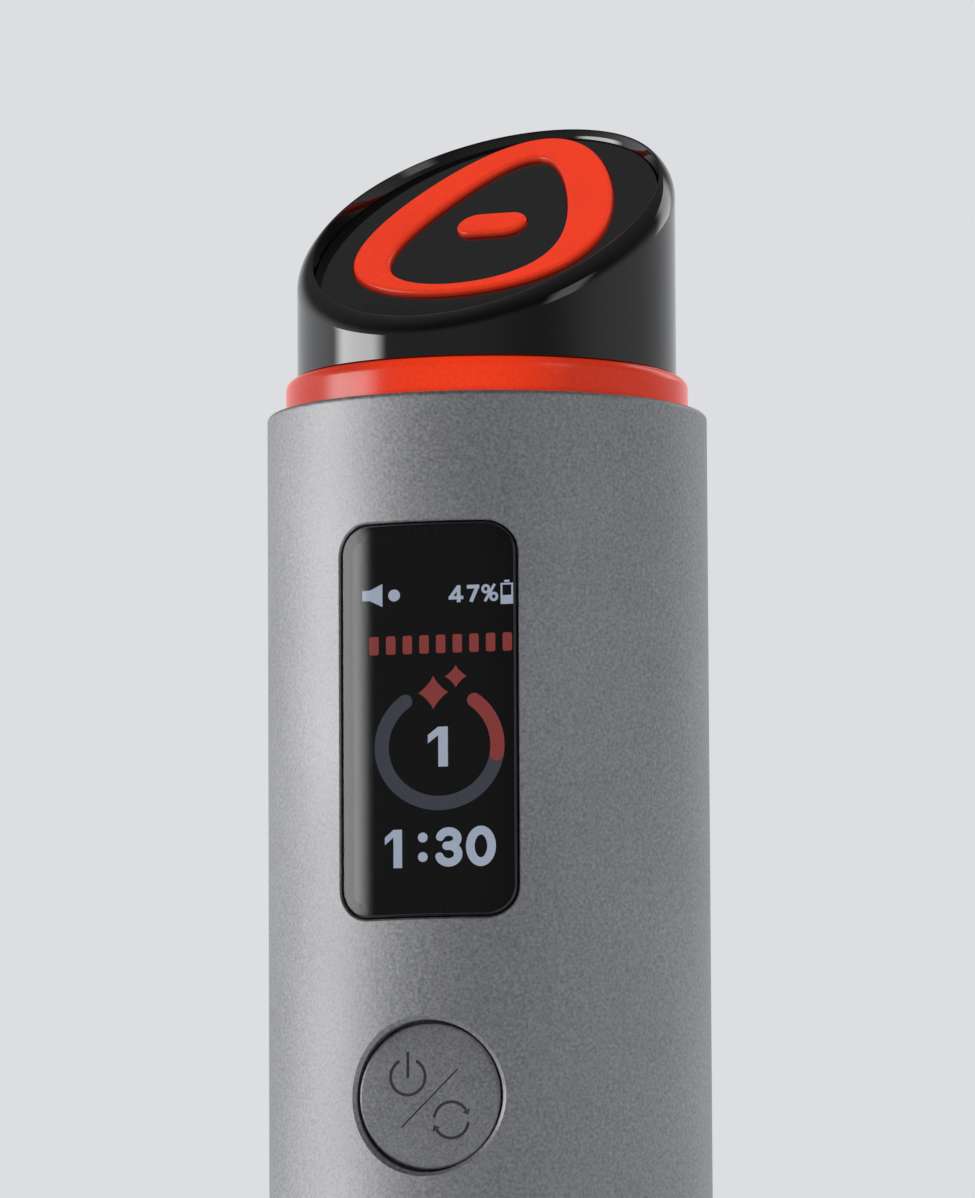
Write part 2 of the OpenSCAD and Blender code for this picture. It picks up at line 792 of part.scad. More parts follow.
module neck_plate() {
    color("dimgray")
    translate([0, 0, frame_z1]) difference() {
        cylinder(r = sled_r, h = plate_t);
        translate([0, 0, -cut]) cylinder(r = cable_r, h = plate_t + 2 * cut);
        translate([0, 0, plate_t / 2 - seal_r]) pipe(sled_r + cut, bore_r - 2 * seal_r, 2 * seal_r);
        translate([0, 0, -cut]) three_round(boss_ring, 90)
            cylinder(r = screw_r + hole_slip, h = plate_t + 2 * cut);
        translate([0, 0, -cut]) three_round(boss_ring, 90)
            cylinder(r = screw_head_r + hole_slip, h = screw_head_h + cut);
        translate([0, 0, -cut]) three_round(boss_ring, 30)
            cylinder(r = screw_r + slip, h = plate_t + 2 * cut);
    }
}

module neck_seal() {
    color("darkred") seal(frame_z1 + plate_t / 2);
}

module neck_screws() {
    color("gray")
    translate([0, 0, frame_z1 - plate_t]) three_round(boss_ring, 30)
        mirror([0, 0, 1]) screw(2 * plate_t);
}

module neck_led_board() {
    color("ivory")
    union() {
        translate([0, 0, neck_z]) pipe(light_r, light_bore, board_t);
        for (k = [0:neck_led_n - 1]) rotate([0, 0, k * 360 / neck_led_n])
            translate([(light_r + light_bore - led_t) / 2, -led_w / 2, skirt_z])
                cube([led_t, led_w, led_h]);
    }
}

module neck_light_ring() {
    color("orangered")
    translate([0, 0, skirt_z]) rotate_extrude() difference() {
        turned_profile(light_r, head_z - skirt_z, light_round);
        translate([0, -cut]) square([light_bore, head_z - skirt_z + 2 * cut]);
        translate([light_bore + 0.5, -cut]) square([light_r - light_bore - 1, channel_h + cut]);
    }
}

// Head's outer form: a cylinder under the slanted face, with its edge rolled over by a ball
module head_outer() {
    n = 96;
    steps = 7;
    ball_r = head_r - lip_round;
    ball_z = rim_z + face_mid - lip_round / cos(face_tilt);
    uphill = [sin(head_turn), cos(head_turn), 0];
    face_n = [0, 0, cos(face_tilt)] - sin(face_tilt) * uphill;
    loft([
        for (j = [-1:steps]) [
            for (i = [0:n - 1])
                let (
                    a = i * 360 / n,
                    side = [cos(a), sin(a), 0],
                    turn = acos(side * face_n),
                    s = max(j, 0) / steps,
                    push = (sin((1 - s) * turn) * side + sin(s * turn) * face_n) / sin(turn),
                    ball = ball_r * side + [0, 0, ball_z + ball_r * (side * uphill) * tan(face_tilt)]
                )
                    j < 0 ? [head_r * cos(a), head_r * sin(a), head_z] : ball + lip_round * push
        ]
    ]);
}

// Level block above a depth of the face, to cut with
module above_face(depth) {
    at_face(depth) translate([-reach / 2, -reach / 2, 0]) cube([reach, reach, reach / 2]);
}

module head_shell() {
    color("black")
    difference() {
        union() {
            difference() {
                head_outer();
                translate([0, 0, head_z - cut]) cylinder(r = head_bore, h = reach);
            }
            translate([0, 0, head_z]) pipe(head_bore + slip, neck_r - neck_wall, shoulder_t);
            intersection() {
                translate([0, 0, head_z]) pipe(head_bore + slip, head_bore - ledge_w, reach / 2);
                at_face(face_low + ledge_t) translate([-reach / 2, -reach / 2, 0])
                    cube([reach, reach, ledge_t]);
            }
            translate([0, 0, neck_z]) pipe(neck_r, neck_r - neck_wall, head_z - neck_z + shoulder_t / 2);
            translate([0, 0, neck_z]) three_round(boss_ring, 90)
                cylinder(r = boss_r, h = head_z + 0.4 - neck_z);
        }
        intersection() {
            above_face(face_low);
            translate([0, 0, head_z - cut]) cylinder(r = head_bore, h = reach);
        }
        intersection() {
            at_face(led_low + 0.3) linear_extrude(led_low) polygon(drop(outer, lit_flange + 0.15));
            translate([0, 0, head_z - cut]) cylinder(r = head_bore, h = reach);
        }
        translate([0, 0, neck_z - cut]) three_round(boss_ring, 90)
            cylinder(r = screw_r + slip, h = cut + pilot_deep - 1);
    }
}

module head_screws() {
    color("gray")
    translate([0, 0, frame_z1 + screw_head_h]) three_round(boss_ring, 90)
        mirror([0, 0, 1]) screw(plate_t - screw_head_h + pilot_deep - 1.5);
}

// What of a piece behind the face fits inside the head's bore
module inside_head(gap) {
    intersection() {
        children();
        translate([0, 0, rim_z - reach / 2]) cylinder(r = head_bore - gap, h = reach * 1.5);
    }
}

module face_panel() {
    color("black")
    difference() {
        inside_head(slip) at_face(face_low) translate([-reach / 2, -reach / 2, 0])
            cube([reach, reach, face_t]);
        at_face(face_low + cut) linear_extrude(face_t + 2 * cut) polygon(drop(outer, lit_gap));
    }
}

module pill_outline(grow) {
    translate([0, pill_y]) stadium(pill_l + 2 * grow, pill_w + 2 * grow);
}

module face_island() {
    color("black")
    at_face(face_low) linear_extrude(face_t) difference() {
        polygon(drop(inner, -lit_gap));
        pill_outline(lit_gap);
    }
}

// Raised ring between the two outlines, with its top edges rounded by quarter circles
module drop_ring(h) {
    edge = [0:30:90];
    loft(concat(
        [lift(drop(outer, 0), 0)],
        [for (b = edge) lift(drop(outer, -lit_round * (1 - cos(b))), h - lit_round * (1 - sin(b)))],
        [for (b = [90:-30:0]) lift(drop(inner, lit_round * (1 - cos(b))), h - lit_round * (1 - sin(b)))],
        [lift(drop(inner, 0), 0)]
    ), closed = true);
}

module teardrop_light() {
    color("orangered")
    inside_head(2 * slip) union() {
        at_face(face_low) drop_ring(face_t + lit_proud);
        at_face(face_low + lit_flange) linear_extrude(lit_flange) difference() {
            polygon(drop(outer, lit_flange));
            polygon(drop(inner, -lit_flange));
        }
    }
}

module pill_light() {
    h = face_t + lit_proud;
    color("orangered")
    union() {
        at_face(face_low) translate([0, pill_y, 0]) {
            for (x = [-1, 1]) translate([x * (pill_l - pill_w) / 2, 0, 0]) rotate_extrude()
                turned_profile(pill_w / 2, h, lit_round);
            translate([-(pill_l - pill_w) / 2, 0, 0]) rotate([90, 0, 90]) linear_extrude(pill_l - pill_w)
                for (side = [0, 1]) mirror([side, 0]) turned_profile(pill_w / 2, h, lit_round);
        }
        at_face(face_low + lit_flange) linear_extrude(lit_flange) pill_outline(lit_flange / 2);
    }
}

module led_block(grow, h) {
    translate([-led_w / 2 - grow, -led_t / 2 - grow, 0]) cube([led_w + 2 * grow, led_t + 2 * grow, h]);
}

// The lamps behind the face: along the lit ring, and one behind the pill
module face_leds(grow, h) {
    for (k = [0:face_led_n - 1]) let (t = (k + 0.5) * 360 / face_led_n, p = drop_at(inner, t),
        run = drop_at(inner, t + 1) - drop_at(inner, t - 1), out = [run.y, -run.x] / norm(run))
            translate(p + out * led_w / 2) rotate([0, 0, atan2(run.y, run.x)]) led_block(grow, h);
    translate([0, pill_y, 0]) led_block(grow, h);
}

module light_baffle() {
    color("white")
    inside_head(3 * slip) at_face(baffle_low) difference() {
        linear_extrude(baffle_h) polygon(drop(outer, lit_flange / 2));
        translate([0, 0, baffle_floor]) linear_extrude(baffle_h) difference() {
            polygon(drop(outer, -lit_flange));
            polygon(drop(inner, -slip));
        }
        translate([0, 0, baffle_floor]) linear_extrude(baffle_h) pill_outline(-lit_flange / 4);
        translate([0, 0, -cut]) face_leds(2 * slip, cut + led_h + 2 * slip);
    }
}

module head_led_board() {
    color("darkgreen")
    inside_head(4 * slip) at_face(led_low) union() {
        linear_extrude(board_t) polygon(drop(outer, lit_flange / 2));
        translate([0, 0, board_t]) face_leds(0, led_h);
    }
}

body_tube();
display_glass();
glass_gasket();
display_panel();
display_bezel();
button_cap();
button_pad();
switch_plunger();
tact_switch();
button_guide();
inner_frame();
main_board();
board_chips();
board_screws();
battery_cell();
battery_foam();
speaker();
motor_can();
motor_boot();
motor_rotor();
base_cap();
base_seal();
base_foot();
base_screws();
charge_port();
charge_board();
charge_board_screws();
neck_plate();
neck_seal();
neck_screws();
neck_led_board();
neck_light_ring();
head_shell();
head_screws();
face_panel();
face_island();
teardrop_light();
pill_light();
light_baffle();
head_led_board();
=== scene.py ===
import math

import bmesh
import bpy
from mathutils import Matrix, Vector


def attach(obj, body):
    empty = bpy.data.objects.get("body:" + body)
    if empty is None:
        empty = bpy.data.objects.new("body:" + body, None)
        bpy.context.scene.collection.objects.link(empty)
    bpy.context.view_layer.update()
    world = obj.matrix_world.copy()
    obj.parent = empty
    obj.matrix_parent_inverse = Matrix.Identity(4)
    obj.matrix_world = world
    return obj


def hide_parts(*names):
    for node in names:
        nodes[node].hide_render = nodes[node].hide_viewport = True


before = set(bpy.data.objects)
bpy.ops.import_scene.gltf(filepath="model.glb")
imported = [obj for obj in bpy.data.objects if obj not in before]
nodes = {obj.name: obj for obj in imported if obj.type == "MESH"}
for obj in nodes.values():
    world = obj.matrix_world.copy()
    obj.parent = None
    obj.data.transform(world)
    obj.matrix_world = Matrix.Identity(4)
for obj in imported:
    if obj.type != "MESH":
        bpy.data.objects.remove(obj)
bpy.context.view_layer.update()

mm = 0.001
tau = 2 * math.pi

# Sizes that several pieces share, in millimetres, as in the part's source; only the tube's rim is sharper.
# z counts from the table, y runs away from the display, x to the right of who looks at it.
tube = {"radius": 16.5, "wall": 1.2, "bottom": 4.0, "rim": 122.0, "rimRound": 0.4, "edge": 0.14}
face = {"turn": math.radians(6), "tilt": math.radians(35.5), "height": tube["rim"] + 15.5, "sink": 1.35,
        "panel": 1.4, "flange": 0.8, "proud": 0.45, "round": 0.35, "gap": 0.06, "bandReach": 12.95}
window = {"height": tube["rim"] - 24.2, "wide": 13.4, "tall": 28.9, "corner": 2.2, "gap": 0.12,
          "glass": 1.0, "panelFront": -13.706}
button = {"height": tube["rim"] - 51.75, "radius": 5.4, "gap": 0.18, "holeEdge": 0.3, "front": -15.3278,
          "back": -12.4927}
neck = {"skirt": tube["rim"] - 1.2, "top": tube["rim"] + 2.75, "outer": 15.1, "inner": 12.35, "round": 0.8}


# node helpers

def feed(tree, node, inputs):
    # each input gets a value, or a link to the socket or wire that feeds it
    for key, value in inputs.items():
        value = value.socket if isinstance(value, Wire) else value
        if isinstance(value, bpy.types.NodeSocket):
            tree.links.new(value, node.inputs[key])
        else:
            node.inputs[key].default_value = value
    return node


def addNode(tree, kind, inputs=None, **settings):
    node = tree.nodes.new(kind)
    for key, value in settings.items():
        setattr(node, key, value)
    return feed(tree, node, inputs or {})


class Wire:
    # a number in a node tree, so that a formula can be written as one
    def __init__(self, tree, socket):
        self.tree, self.socket = tree, socket

    def math(self, operation, *others):
        inputs = dict(enumerate((self,) + others))
        return Wire(self.tree, addNode(self.tree, "ShaderNodeMath", inputs, operation=operation).outputs[0])

    def ranged(self, low, high, start, end, kind="LINEAR"):
        # what runs from low to high runs from start to end
        inputs = {"Value": self, "From Min": low, "From Max": high, "To Min": start, "To Max": end}
        node = addNode(self.tree, "ShaderNodeMapRange", inputs, interpolation_type=kind)
        return Wire(self.tree, node.outputs["Result"])

    def __add__(self, other): return self.math("ADD", other)
    def __sub__(self, other): return self.math("SUBTRACT", other)
    def __mul__(self, other): return self.math("MULTIPLY", other)
    def __truediv__(self, other): return self.math("DIVIDE", other)
    def sin(self): return self.math("SINE")
    def cos(self): return self.math("COSINE")
    def root(self): return self.math("SQRT")
    def clamped(self): return self.math("MAXIMUM", 0.0).math("MINIMUM", 1.0)
    def fromOne(self): return self * -1.0 + 1.0


def splitVector(tree, vector):
    split = addNode(tree, "ShaderNodeSeparateXYZ", {0: vector})
    return [Wire(tree, socket) for socket in split.outputs]


def joinVector(tree, x, y, z):
    return addNode(tree, "ShaderNodeCombineXYZ", {0: x, 1: y, 2: z}).outputs[0]


def noise(tree, place, scale, detail, roughness=0.5):
    texture = addNode(tree, "ShaderNodeTexNoise", {"Vector": place, "Scale": scale, "Detail": detail,
                                                   "Roughness": roughness})
    return Wire(tree, texture.outputs["Fac"])


def along(tree, place, direction):
    # how far a point lies along a direction
    product = addNode(tree, "ShaderNodeVectorMath", {0: place, 1: direction}, operation="DOT_PRODUCT")
    return Wire(tree, product.outputs["Value"])


def toned(tree, share, first, second):
    # a colour between two
    mix = addNode(tree, "ShaderNodeMix", {0: share, 6: (*first, 1), 7: (*second, 1)}, data_type="RGBA")
    return mix.outputs[2]


def newMaterial(name, settings):
    # also gives the place on the piece that a pattern reads
    material = bpy.data.materials.new(name)
    material.use_nodes = True
    tree = material.node_tree
    shader = feed(tree, tree.nodes["Principled BSDF"], settings)
    return material, tree, shader, addNode(tree, "ShaderNodeTexCoord").outputs["Object"]


# camera and studio

def addCamera():
    # the camera stands below the tube's rim and looks up at it
    shot = {"turn": 16.9, "distance": 674.7, "below": 87.0, "side": -0.04, "pitch": 6.2, "roll": 0.29,
            "lens": 271.95}
    turn = Matrix.Rotation(math.radians(shot["turn"]), 3, "Z")
    pitch, roll = math.radians(shot["pitch"]), math.radians(shot["roll"])
    forward = Vector((0, math.cos(pitch), math.sin(pitch)))
    up = Vector((0, -math.sin(pitch), math.cos(pitch)))
    right = Vector((1, 0, 0))
    rolledRight = right * math.cos(roll) - up * math.sin(roll)
    rolledUp = right * math.sin(roll) + up * math.cos(roll)
    place = turn @ Vector((shot["side"], -shot["distance"], 0)) * mm
    place.z = (tube["rim"] - shot["below"]) * mm
    columns = [turn @ rolledRight, turn @ rolledUp, turn @ -forward]
    data = bpy.data.cameras.new("photoCamera")
    data.sensor_fit = "VERTICAL"
    data.sensor_height = 36
    data.lens = shot["lens"]
    data.clip_start = 0.01
    camera = bpy.data.objects.new("photoCamera", data)
    camera.matrix_world = Matrix([[c[i] for c in columns] + [place[i]] for i in range(3)] + [[0, 0, 0, 1]])
    bpy.context.scene.collection.objects.link(camera)
    bpy.context.scene.camera = camera


def addSoftbox(name, light):
    data = bpy.data.lights.new(name, "AREA")
    data.shape = "RECTANGLE"
    data.size, data.size_y = light["size"]
    data.energy = light["power"]
    data.color = light["colour"]
    # the cloth is even in its middle and fades towards its sides
    data.use_nodes = True
    tree = data.node_tree
    shader = next(node for node in tree.nodes if node.type == "EMISSION")
    across = splitVector(tree, addNode(tree, "ShaderNodeNewGeometry").outputs["Parametric"])[0]
    away = (across - 0.5).math("ABSOLUTE")
    feed(tree, shader, {"Strength": away.ranged(light["even"] / 2, 0.5, 1.0, 0.0, "SMOOTHSTEP")})
    lamp = bpy.data.objects.new(name, data)
    around, high = math.radians(light["around"]), math.radians(light["high"])
    out = Vector((math.sin(around) * math.cos(high), -math.cos(around) * math.cos(high), math.sin(high)))
    lamp.location = Vector((0, 0, light["aim"])) + out * light["away"]
    lamp.rotation_euler = out.to_track_quat("Z", "Y").to_euler()
    bpy.context.scene.collection.objects.link(lamp)


def addRoom():
    # pale walls that dim above, at the right and behind the camera: from, to, and the share of light left
    room = {"wall": (0.72, 0.73, 0.75), "lit": 0.7, "above": (0.22, 0.62, 0.16), "right": (0.1, 0.9, 0.5),
            "behind": (0.15, -0.75, 0.25)}
    world = bpy.data.worlds.new("paleRoom")
    world.use_nodes = True
    tree = world.node_tree
    tree.nodes.clear()
    x, y, z = splitVector(tree, addNode(tree, "ShaderNodeTexCoord").outputs["Generated"])
    above, right, behind = [part.ranged(*room[side][:2], 1.0, room[side][2], "SMOOTHSTEP")
                            for part, side in ((z, "above"), (x, "right"), (y, "behind"))]
    paths = addNode(tree, "ShaderNodeLightPath")
    seen = Wire(tree, paths.outputs["Is Camera Ray"])
    for ray in ("Is Glossy Ray", "Is Transmission Ray"):
        seen = seen.math("MAXIMUM", paths.outputs[ray])
    wall = (*room["wall"], 1)
    shown = addNode(tree, "ShaderNodeBackground", {"Color": wall, "Strength": above * (right * behind)})
    lit = addNode(tree, "ShaderNodeBackground", {"Color": wall, "Strength": room["lit"]})
    choose = addNode(tree, "ShaderNodeMixShader", {0: seen, 1: lit.outputs[0], 2: shown.outputs[0]})
    addNode(tree, "ShaderNodeOutputWorld", {0: choose.outputs[0]})
    bpy.context.scene.world = world


def addFloor():
    paper = {"half": 3.0, "dark": (0.7, 0.71, 0.73), "light": (0.74, 0.75, 0.77), "fibre": 60.0, "rough": 0.8}
    half = paper["half"]
    mesh = bpy.data.meshes.new("floor")
    mesh.from_pydata([(-half, -half, 0), (half, -half, 0), (half, half, 0), (-half, half, 0)], [], [(0, 1, 2, 3)])
    floor = bpy.data.objects.new("floor", mesh)
    bpy.context.scene.collection.objects.link(floor)
    material, tree, shader, place = newMaterial("palePaper", {"Roughness": paper["rough"]})
    fibre = noise(tree, place, paper["fibre"], 5.0)
    feed(tree, shader, {"Base Color": toned(tree, fibre, paper["dark"], paper["light"])})
    mesh.materials.append(material)


# around counts from the display's side towards +X, in degrees; even is the share that doesn't fade
softboxes = {
    "keySoftbox": {"around": -67.5, "high": 9, "away": 0.62, "aim": 0.1, "size": (0.5, 0.16), "even": 0.45,
                   "power": 1.35, "colour": (1, 0.995, 0.99)},
    "fillSoftbox": {"around": 60, "high": 30, "away": 1.0, "aim": 0.1, "size": (0.5, 0.5), "even": 0.3,
                    "power": 0.7, "colour": (0.98, 0.99, 1)},
    "backSoftbox": {"around": 150, "high": 30, "away": 0.9, "aim": 0.1, "size": (0.5, 0.5), "even": 0.3,
                    "power": 1.1, "colour": (1, 1, 1)},
}
addCamera()
for name, light in softboxes.items():
    addSoftbox(name, light)
addRoom()
addFloor()
bpy.context.scene.view_settings.view_transform = "Standard"
print("camera and studio placed")


# finishes

def srgb(*values):
    return tuple((v / 12.92 if v <= 0.04045 else ((v + 0.055) / 1.055) ** 2.4) for v in values)


def grainedMaterial(name, look):
    # a colour that drifts between two tones, with a fine grain in tone, gloss and relief
    material, tree, shader, place = newMaterial(name, look.get("shader", {}))
    drift = noise(tree, place, look["driftScale"], 3.0)
    grain = noise(tree, place, look["grainScale"], 4.0, 0.6)
    share = look.get("grainShare", 0.5)
    tone = grain.math("MULTIPLY_ADD", share, drift).ranged(0.35 + 0.35 * share, 0.65 + 0.65 * share, 0.0, 1.0)
    feed(tree, shader, {"Base Color": toned(tree, tone, look["dark"], look["light"]),
                        "Roughness": grain.ranged(0.3, 0.7, *look["rough"])})
    if "relief" in look:
        bump = addNode(tree, "ShaderNodeBump", {"Height": grain, "Strength": look.get("strength", 0.5),
                                                "Distance": look["relief"] * mm})
        feed(tree, shader, {"Normal": bump.outputs["Normal"]})
    return material


def litMaterial(name, look):
    # milky plastic with lamps behind it: bright in the open, duller towards its foot
    material, tree, shader, place = newMaterial(name, {"Roughness": look["rough"], "IOR": 1.49})
    grain = noise(tree, place, look["grainScale"], 3.0)
    cloud = noise(tree, place, look["cloudScale"], 1.0)
    fine = grain.ranged(0.25, 0.75, 1 - look["grain"], 1.0)
    broad = cloud.ranged(0.3, 0.7, 1 - look["cloud"], 1.0)
    height = along(tree, place, look["up"])
    level = fine * broad * height.ranged(look["from"] * mm, look["to"] * mm, look["foot"], 1.0)
    if "hot" in look:
        # brightest on the front side, turned a little to the right, towards the camera
        level = level * along(tree, place, look["hot"]).ranged(*look["hotRange"])
    feed(tree, shader, {"Emission Strength": level * look["power"],
                        "Emission Color": toned(tree, level, look["deep"], look["colour"]),
                        "Base Color": toned(tree, grain, look["skinDark"], look["skin"])})
    return material


def glassMaterial():
    smoked = {"dark": (0.24, 0.245, 0.26), "light": (0.27, 0.275, 0.29), "scale": 120.0, "ior": 1.45}
    material, tree, shader, place = newMaterial("smokedGlass", {"Roughness": 0.0, "IOR": smoked["ior"],
                                                                "Transmission Weight": 1.0})
    smoke = noise(tree, place, smoked["scale"], 2.0)
    feed(tree, shader, {"Base Color": toned(tree, smoke, smoked["dark"], smoked["light"])})
    return material


def pixelMaterial(name, colour, power):
    # what the display shows, broken up by its fine rows and columns of pixels
    pixels = {"pitch": 0.11 * mm, "between": 0.8}
    material, tree, shader, place = newMaterial(name, {
        "Base Color": (0.004, 0.004, 0.005, 1), "Roughness": 0.4, "Emission Color": (*colour, 1)})
    columns, rows = [(part * (tau / pixels["pitch"])).cos().ranged(-1.0, 1.0, pixels["between"], 1.0)
                     for part in splitVector(tree, place)[::2]]
    feed(tree, shader, {"Emission Strength": columns * rows * power})
    return material


def boardMaterial(name, mask, trace):
    # solder mask over a grid of tracks
    material, tree, shader, place = newMaterial(name, {"IOR": 1.5})
    tracks = addNode(tree, "ShaderNodeTexVoronoi", {"Vector": place, "Scale": 900.0, "Randomness": 0.35},
                     feature="DISTANCE_TO_EDGE", voronoi_dimensions="3D")
    line = Wire(tree, tracks.outputs["Distance"]).ranged(0.03, 0.06, 1.0, 0.0)
    bump = addNode(tree, "ShaderNodeBump", {"Height": line, "Strength": 0.4, "Distance": 0.02 * mm})
    feed(tree, shader, {"Base Color": toned(tree, line, mask, trace), "Roughness": line.ranged(0.0, 1.0, 0.35, 0.28),
                        "Normal": bump.outputs["Normal"]})
    return material


# scales count from a metre, relief is in millimetres, grainShare weighs the grain against the drift
looks = {
    "blastedAluminium": {"dark": (0.36, 0.36, 0.37), "light": (0.69, 0.69, 0.7), "rough": (0.5, 0.66),
                         "driftScale": 35.0, "grainScale": 4200.0, "grainShare": 2.6, "relief": 0.03, "strength": 0.7,
                         "shader": {"Metallic": 1.0}},
    "buttonAluminium": {"dark": (0.3, 0.3, 0.31), "light": (0.56, 0.56, 0.57), "rough": (0.4, 0.54),
                        "driftScale": 60.0, "grainScale": 5200.0, "grainShare": 2.6, "relief": 0.02, "strength": 0.6,
                        "shader": {"Metallic": 1.0}},
    "engravedMark": {"dark": (0.05, 0.05, 0.052), "light": (0.085, 0.085, 0.09), "rough": (0.55, 0.7),
                     "driftScale": 300.0, "grainScale": 6000.0, "relief": 0.01},
    "pianoBlack": {"dark": (0.003, 0.003, 0.0032), "light": (0.005, 0.005, 0.0054), "rough": (0.03, 0.055),
                   "driftScale": 40.0, "grainScale": 900.0, "shader": {"IOR": 1.75}},
    "mouldedBlack": {"dark": (0.012, 0.012, 0.013), "light": (0.02, 0.02, 0.021), "rough": (0.42, 0.55),
                     "driftScale": 80.0, "grainScale": 3800.0, "relief": 0.02},
    "frameBlack": {"dark": (0.02, 0.02, 0.021), "light": (0.03, 0.03, 0.031), "rough": (0.45, 0.6),
                   "driftScale": 60.0, "grainScale": 2500.0, "relief": 0.02, "strength": 0.4},
    "footRubber": {"dark": (0.014, 0.014, 0.014), "light": (0.024, 0.024, 0.023), "rough": (0.7, 0.88),
                   "driftScale": 90.0, "grainScale": 3000.0, "relief": 0.03, "strength": 0.6},
    "whiteSilicone": {"dark": (0.55, 0.55, 0.53), "light": (0.64, 0.64, 0.62), "rough": (0.5, 0.62),
                      "driftScale": 90.0, "grainScale": 2500.0, "relief": 0.01},
    "sealFoam": {"dark": (0.016, 0.016, 0.017), "light": (0.05, 0.05, 0.05), "rough": (0.8, 0.95),
                 "driftScale": 200.0, "grainScale": 3500.0, "grainShare": 2.0, "relief": 0.06, "strength": 0.9},
    "whiteMoulding": {"dark": (0.62, 0.62, 0.61), "light": (0.7, 0.7, 0.69), "rough": (0.45, 0.55),
                      "driftScale": 60.0, "grainScale": 2500.0, "relief": 0.01},
    "chipBlack": {"dark": (0.018, 0.018, 0.02), "light": (0.035, 0.035, 0.037), "rough": (0.5, 0.65),
                  "driftScale": 150.0, "grainScale": 5000.0, "grainShare": 1.5, "relief": 0.015},
    "machinedSteel": {"dark": (0.34, 0.34, 0.35), "light": (0.5, 0.5, 0.51), "rough": (0.24, 0.38),
                      "driftScale": 120.0, "grainScale": 2600.0, "relief": 0.008, "shader": {"Metallic": 1.0}},
    "cellWrap": {"dark": (0.01, 0.05, 0.22), "light": (0.016, 0.075, 0.3), "rough": (0.25, 0.34),
                 "driftScale": 45.0, "grainScale": 1200.0, "relief": 0.012, "strength": 0.3},
    "plungerRed": {"dark": (0.16, 0.008, 0.008), "light": (0.22, 0.012, 0.01), "rough": (0.4, 0.5),
                   "driftScale": 200.0, "grainScale": 4000.0, "relief": 0.01},
    "screenBlack": {"dark": (0.0025, 0.0026, 0.0032), "light": (0.0045, 0.0046, 0.006), "rough": (0.3, 0.4),
                    "driftScale": 80.0, "grainScale": 3000.0},
}
finishes = {name: grainedMaterial(name, look) for name, look in looks.items()}

# from and to are the heights, along up, between which a lit piece brightens from its foot
faceUp = Matrix.Rotation(-face["turn"], 3, "Z") @ Vector((0, -math.sin(face["tilt"]), math.cos(face["tilt"])))
panelLevel = face["height"] * faceUp.z - face["sink"]
hotTurn = math.radians(8)
glow = {"grainScale": 3500.0, "grain": 0.10, "colour": (1.0, 0.043, 0.005), "skinDark": (0.10, 0.008, 0.003),
        "skin": (0.14, 0.012, 0.005)}
litLooks = {
    "litFace": {**glow, "rough": 0.32, "cloudScale": 90.0, "cloud": 0.08, "deep": srgb(0.55, 0.10, 0.05),
                "up": faceUp, "from": panelLevel, "to": panelLevel + 0.5, "foot": 0.42, "power": 1.0},
    "litNeck": {**glow, "rough": 0.22, "cloudScale": 60.0, "cloud": 0.16, "deep": srgb(0.62, 0.13, 0.07),
                "up": Vector((0, 0, 1)), "from": tube["rim"], "to": tube["rim"] + 0.5, "foot": 0.8, "power": 1.04,
                "hot": Vector((math.sin(hotTurn), -math.cos(hotTurn), 0)) / (neck["outer"] * mm),
                "hotRange": (0.83, 1.0, 0.72, 1.0)},
}
finishes.update({name: litMaterial(name, look) for name, look in litLooks.items()})
# what the display and the lamps give off, as colour and power
lights = {"paleBlueLight": ((0.74, 0.84, 1.0), 2.1), "dimRedLight": ((0.9, 0.15, 0.135), 1.15),
          "trackLight": ((0.2, 0.215, 0.27), 1.0), "lampWhite": ((1.0, 0.35, 0.16), 1.5)}
finishes.update({name: pixelMaterial(name, *light) for name, light in lights.items()})
finishes["smokedGlass"] = glassMaterial()
finishes["greenBoard"] = boardMaterial("greenBoard", (0.008, 0.075, 0.03), (0.02, 0.15, 0.05))
finishes["whiteBoard"] = boardMaterial("whiteBoard", (0.55, 0.55, 0.53), (0.66, 0.66, 0.62))
print("finishes mixed:", len(finishes))


# mesh helpers

def toObject(name, mesh):
    piece = bpy.data.objects.new(name, mesh)
    bpy.context.scene.collection.objects.link(piece)
    return piece


def meshFrom(name, points, faces):
    # points in millimetres
    mesh = bpy.data.meshes.new(name)
    mesh.from_pydata([tuple(c * mm for c in p) for p in points], [], faces)
    mesh.validate()
    work = bmesh.new()
    work.from_mesh(mesh)
    bmesh.ops.remove_doubles(work, verts=work.verts, dist=1e-7)
    bmesh.ops.dissolve_degenerate(work, dist=1e-8, edges=work.edges)
    bmesh.ops.recalc_face_normals(work, faces=work.faces)
    work.to_mesh(mesh)
    work.free()
    return toObject(name, mesh)


def loftPiece(name, loops, closed=False):
    # each loop holds the same number of points; closed joins the last loop to the first, else both are capped
    count = len(loops[0])
    points = [p for loop in loops for p in loop]
    faces = []
    for j in range(len(loops) if closed else len(loops) - 1):
        a, b = j * count, (j + 1) % len(loops) * count
        for i in range(count):
            k = (i + 1) % count
            faces.append((a + i, a + k, b + k, b + i))
    if not closed:
        faces.append(tuple(range(count)))
        faces.append(tuple((len(loops) - 1) * count + i for i in range(count)))
    return meshFrom(name, points, faces)


def turnedPiece(name, profile, steps=256, offset=0.0):
    # profile as (radius, height), closed, turned round the z axis
    angles = [tau * (i + offset) / steps for i in range(steps)]
    loops = [[(radius * math.cos(a), radius * math.sin(a), height) for a in angles] for radius, height in profile]
    return loftPiece(name, loops, closed=True)


def quarter(count):
    # even angles over a quarter turn
    return [math.pi / 2 * k / count for k in range(count + 1)]


def roundedCorner(radius, height, corner, count=8):
    # quarter circle from the side of a turned piece up to its top
    return [(radius - corner + corner * math.cos(a), height - corner + corner * math.sin(a))
            for a in quarter(count)]


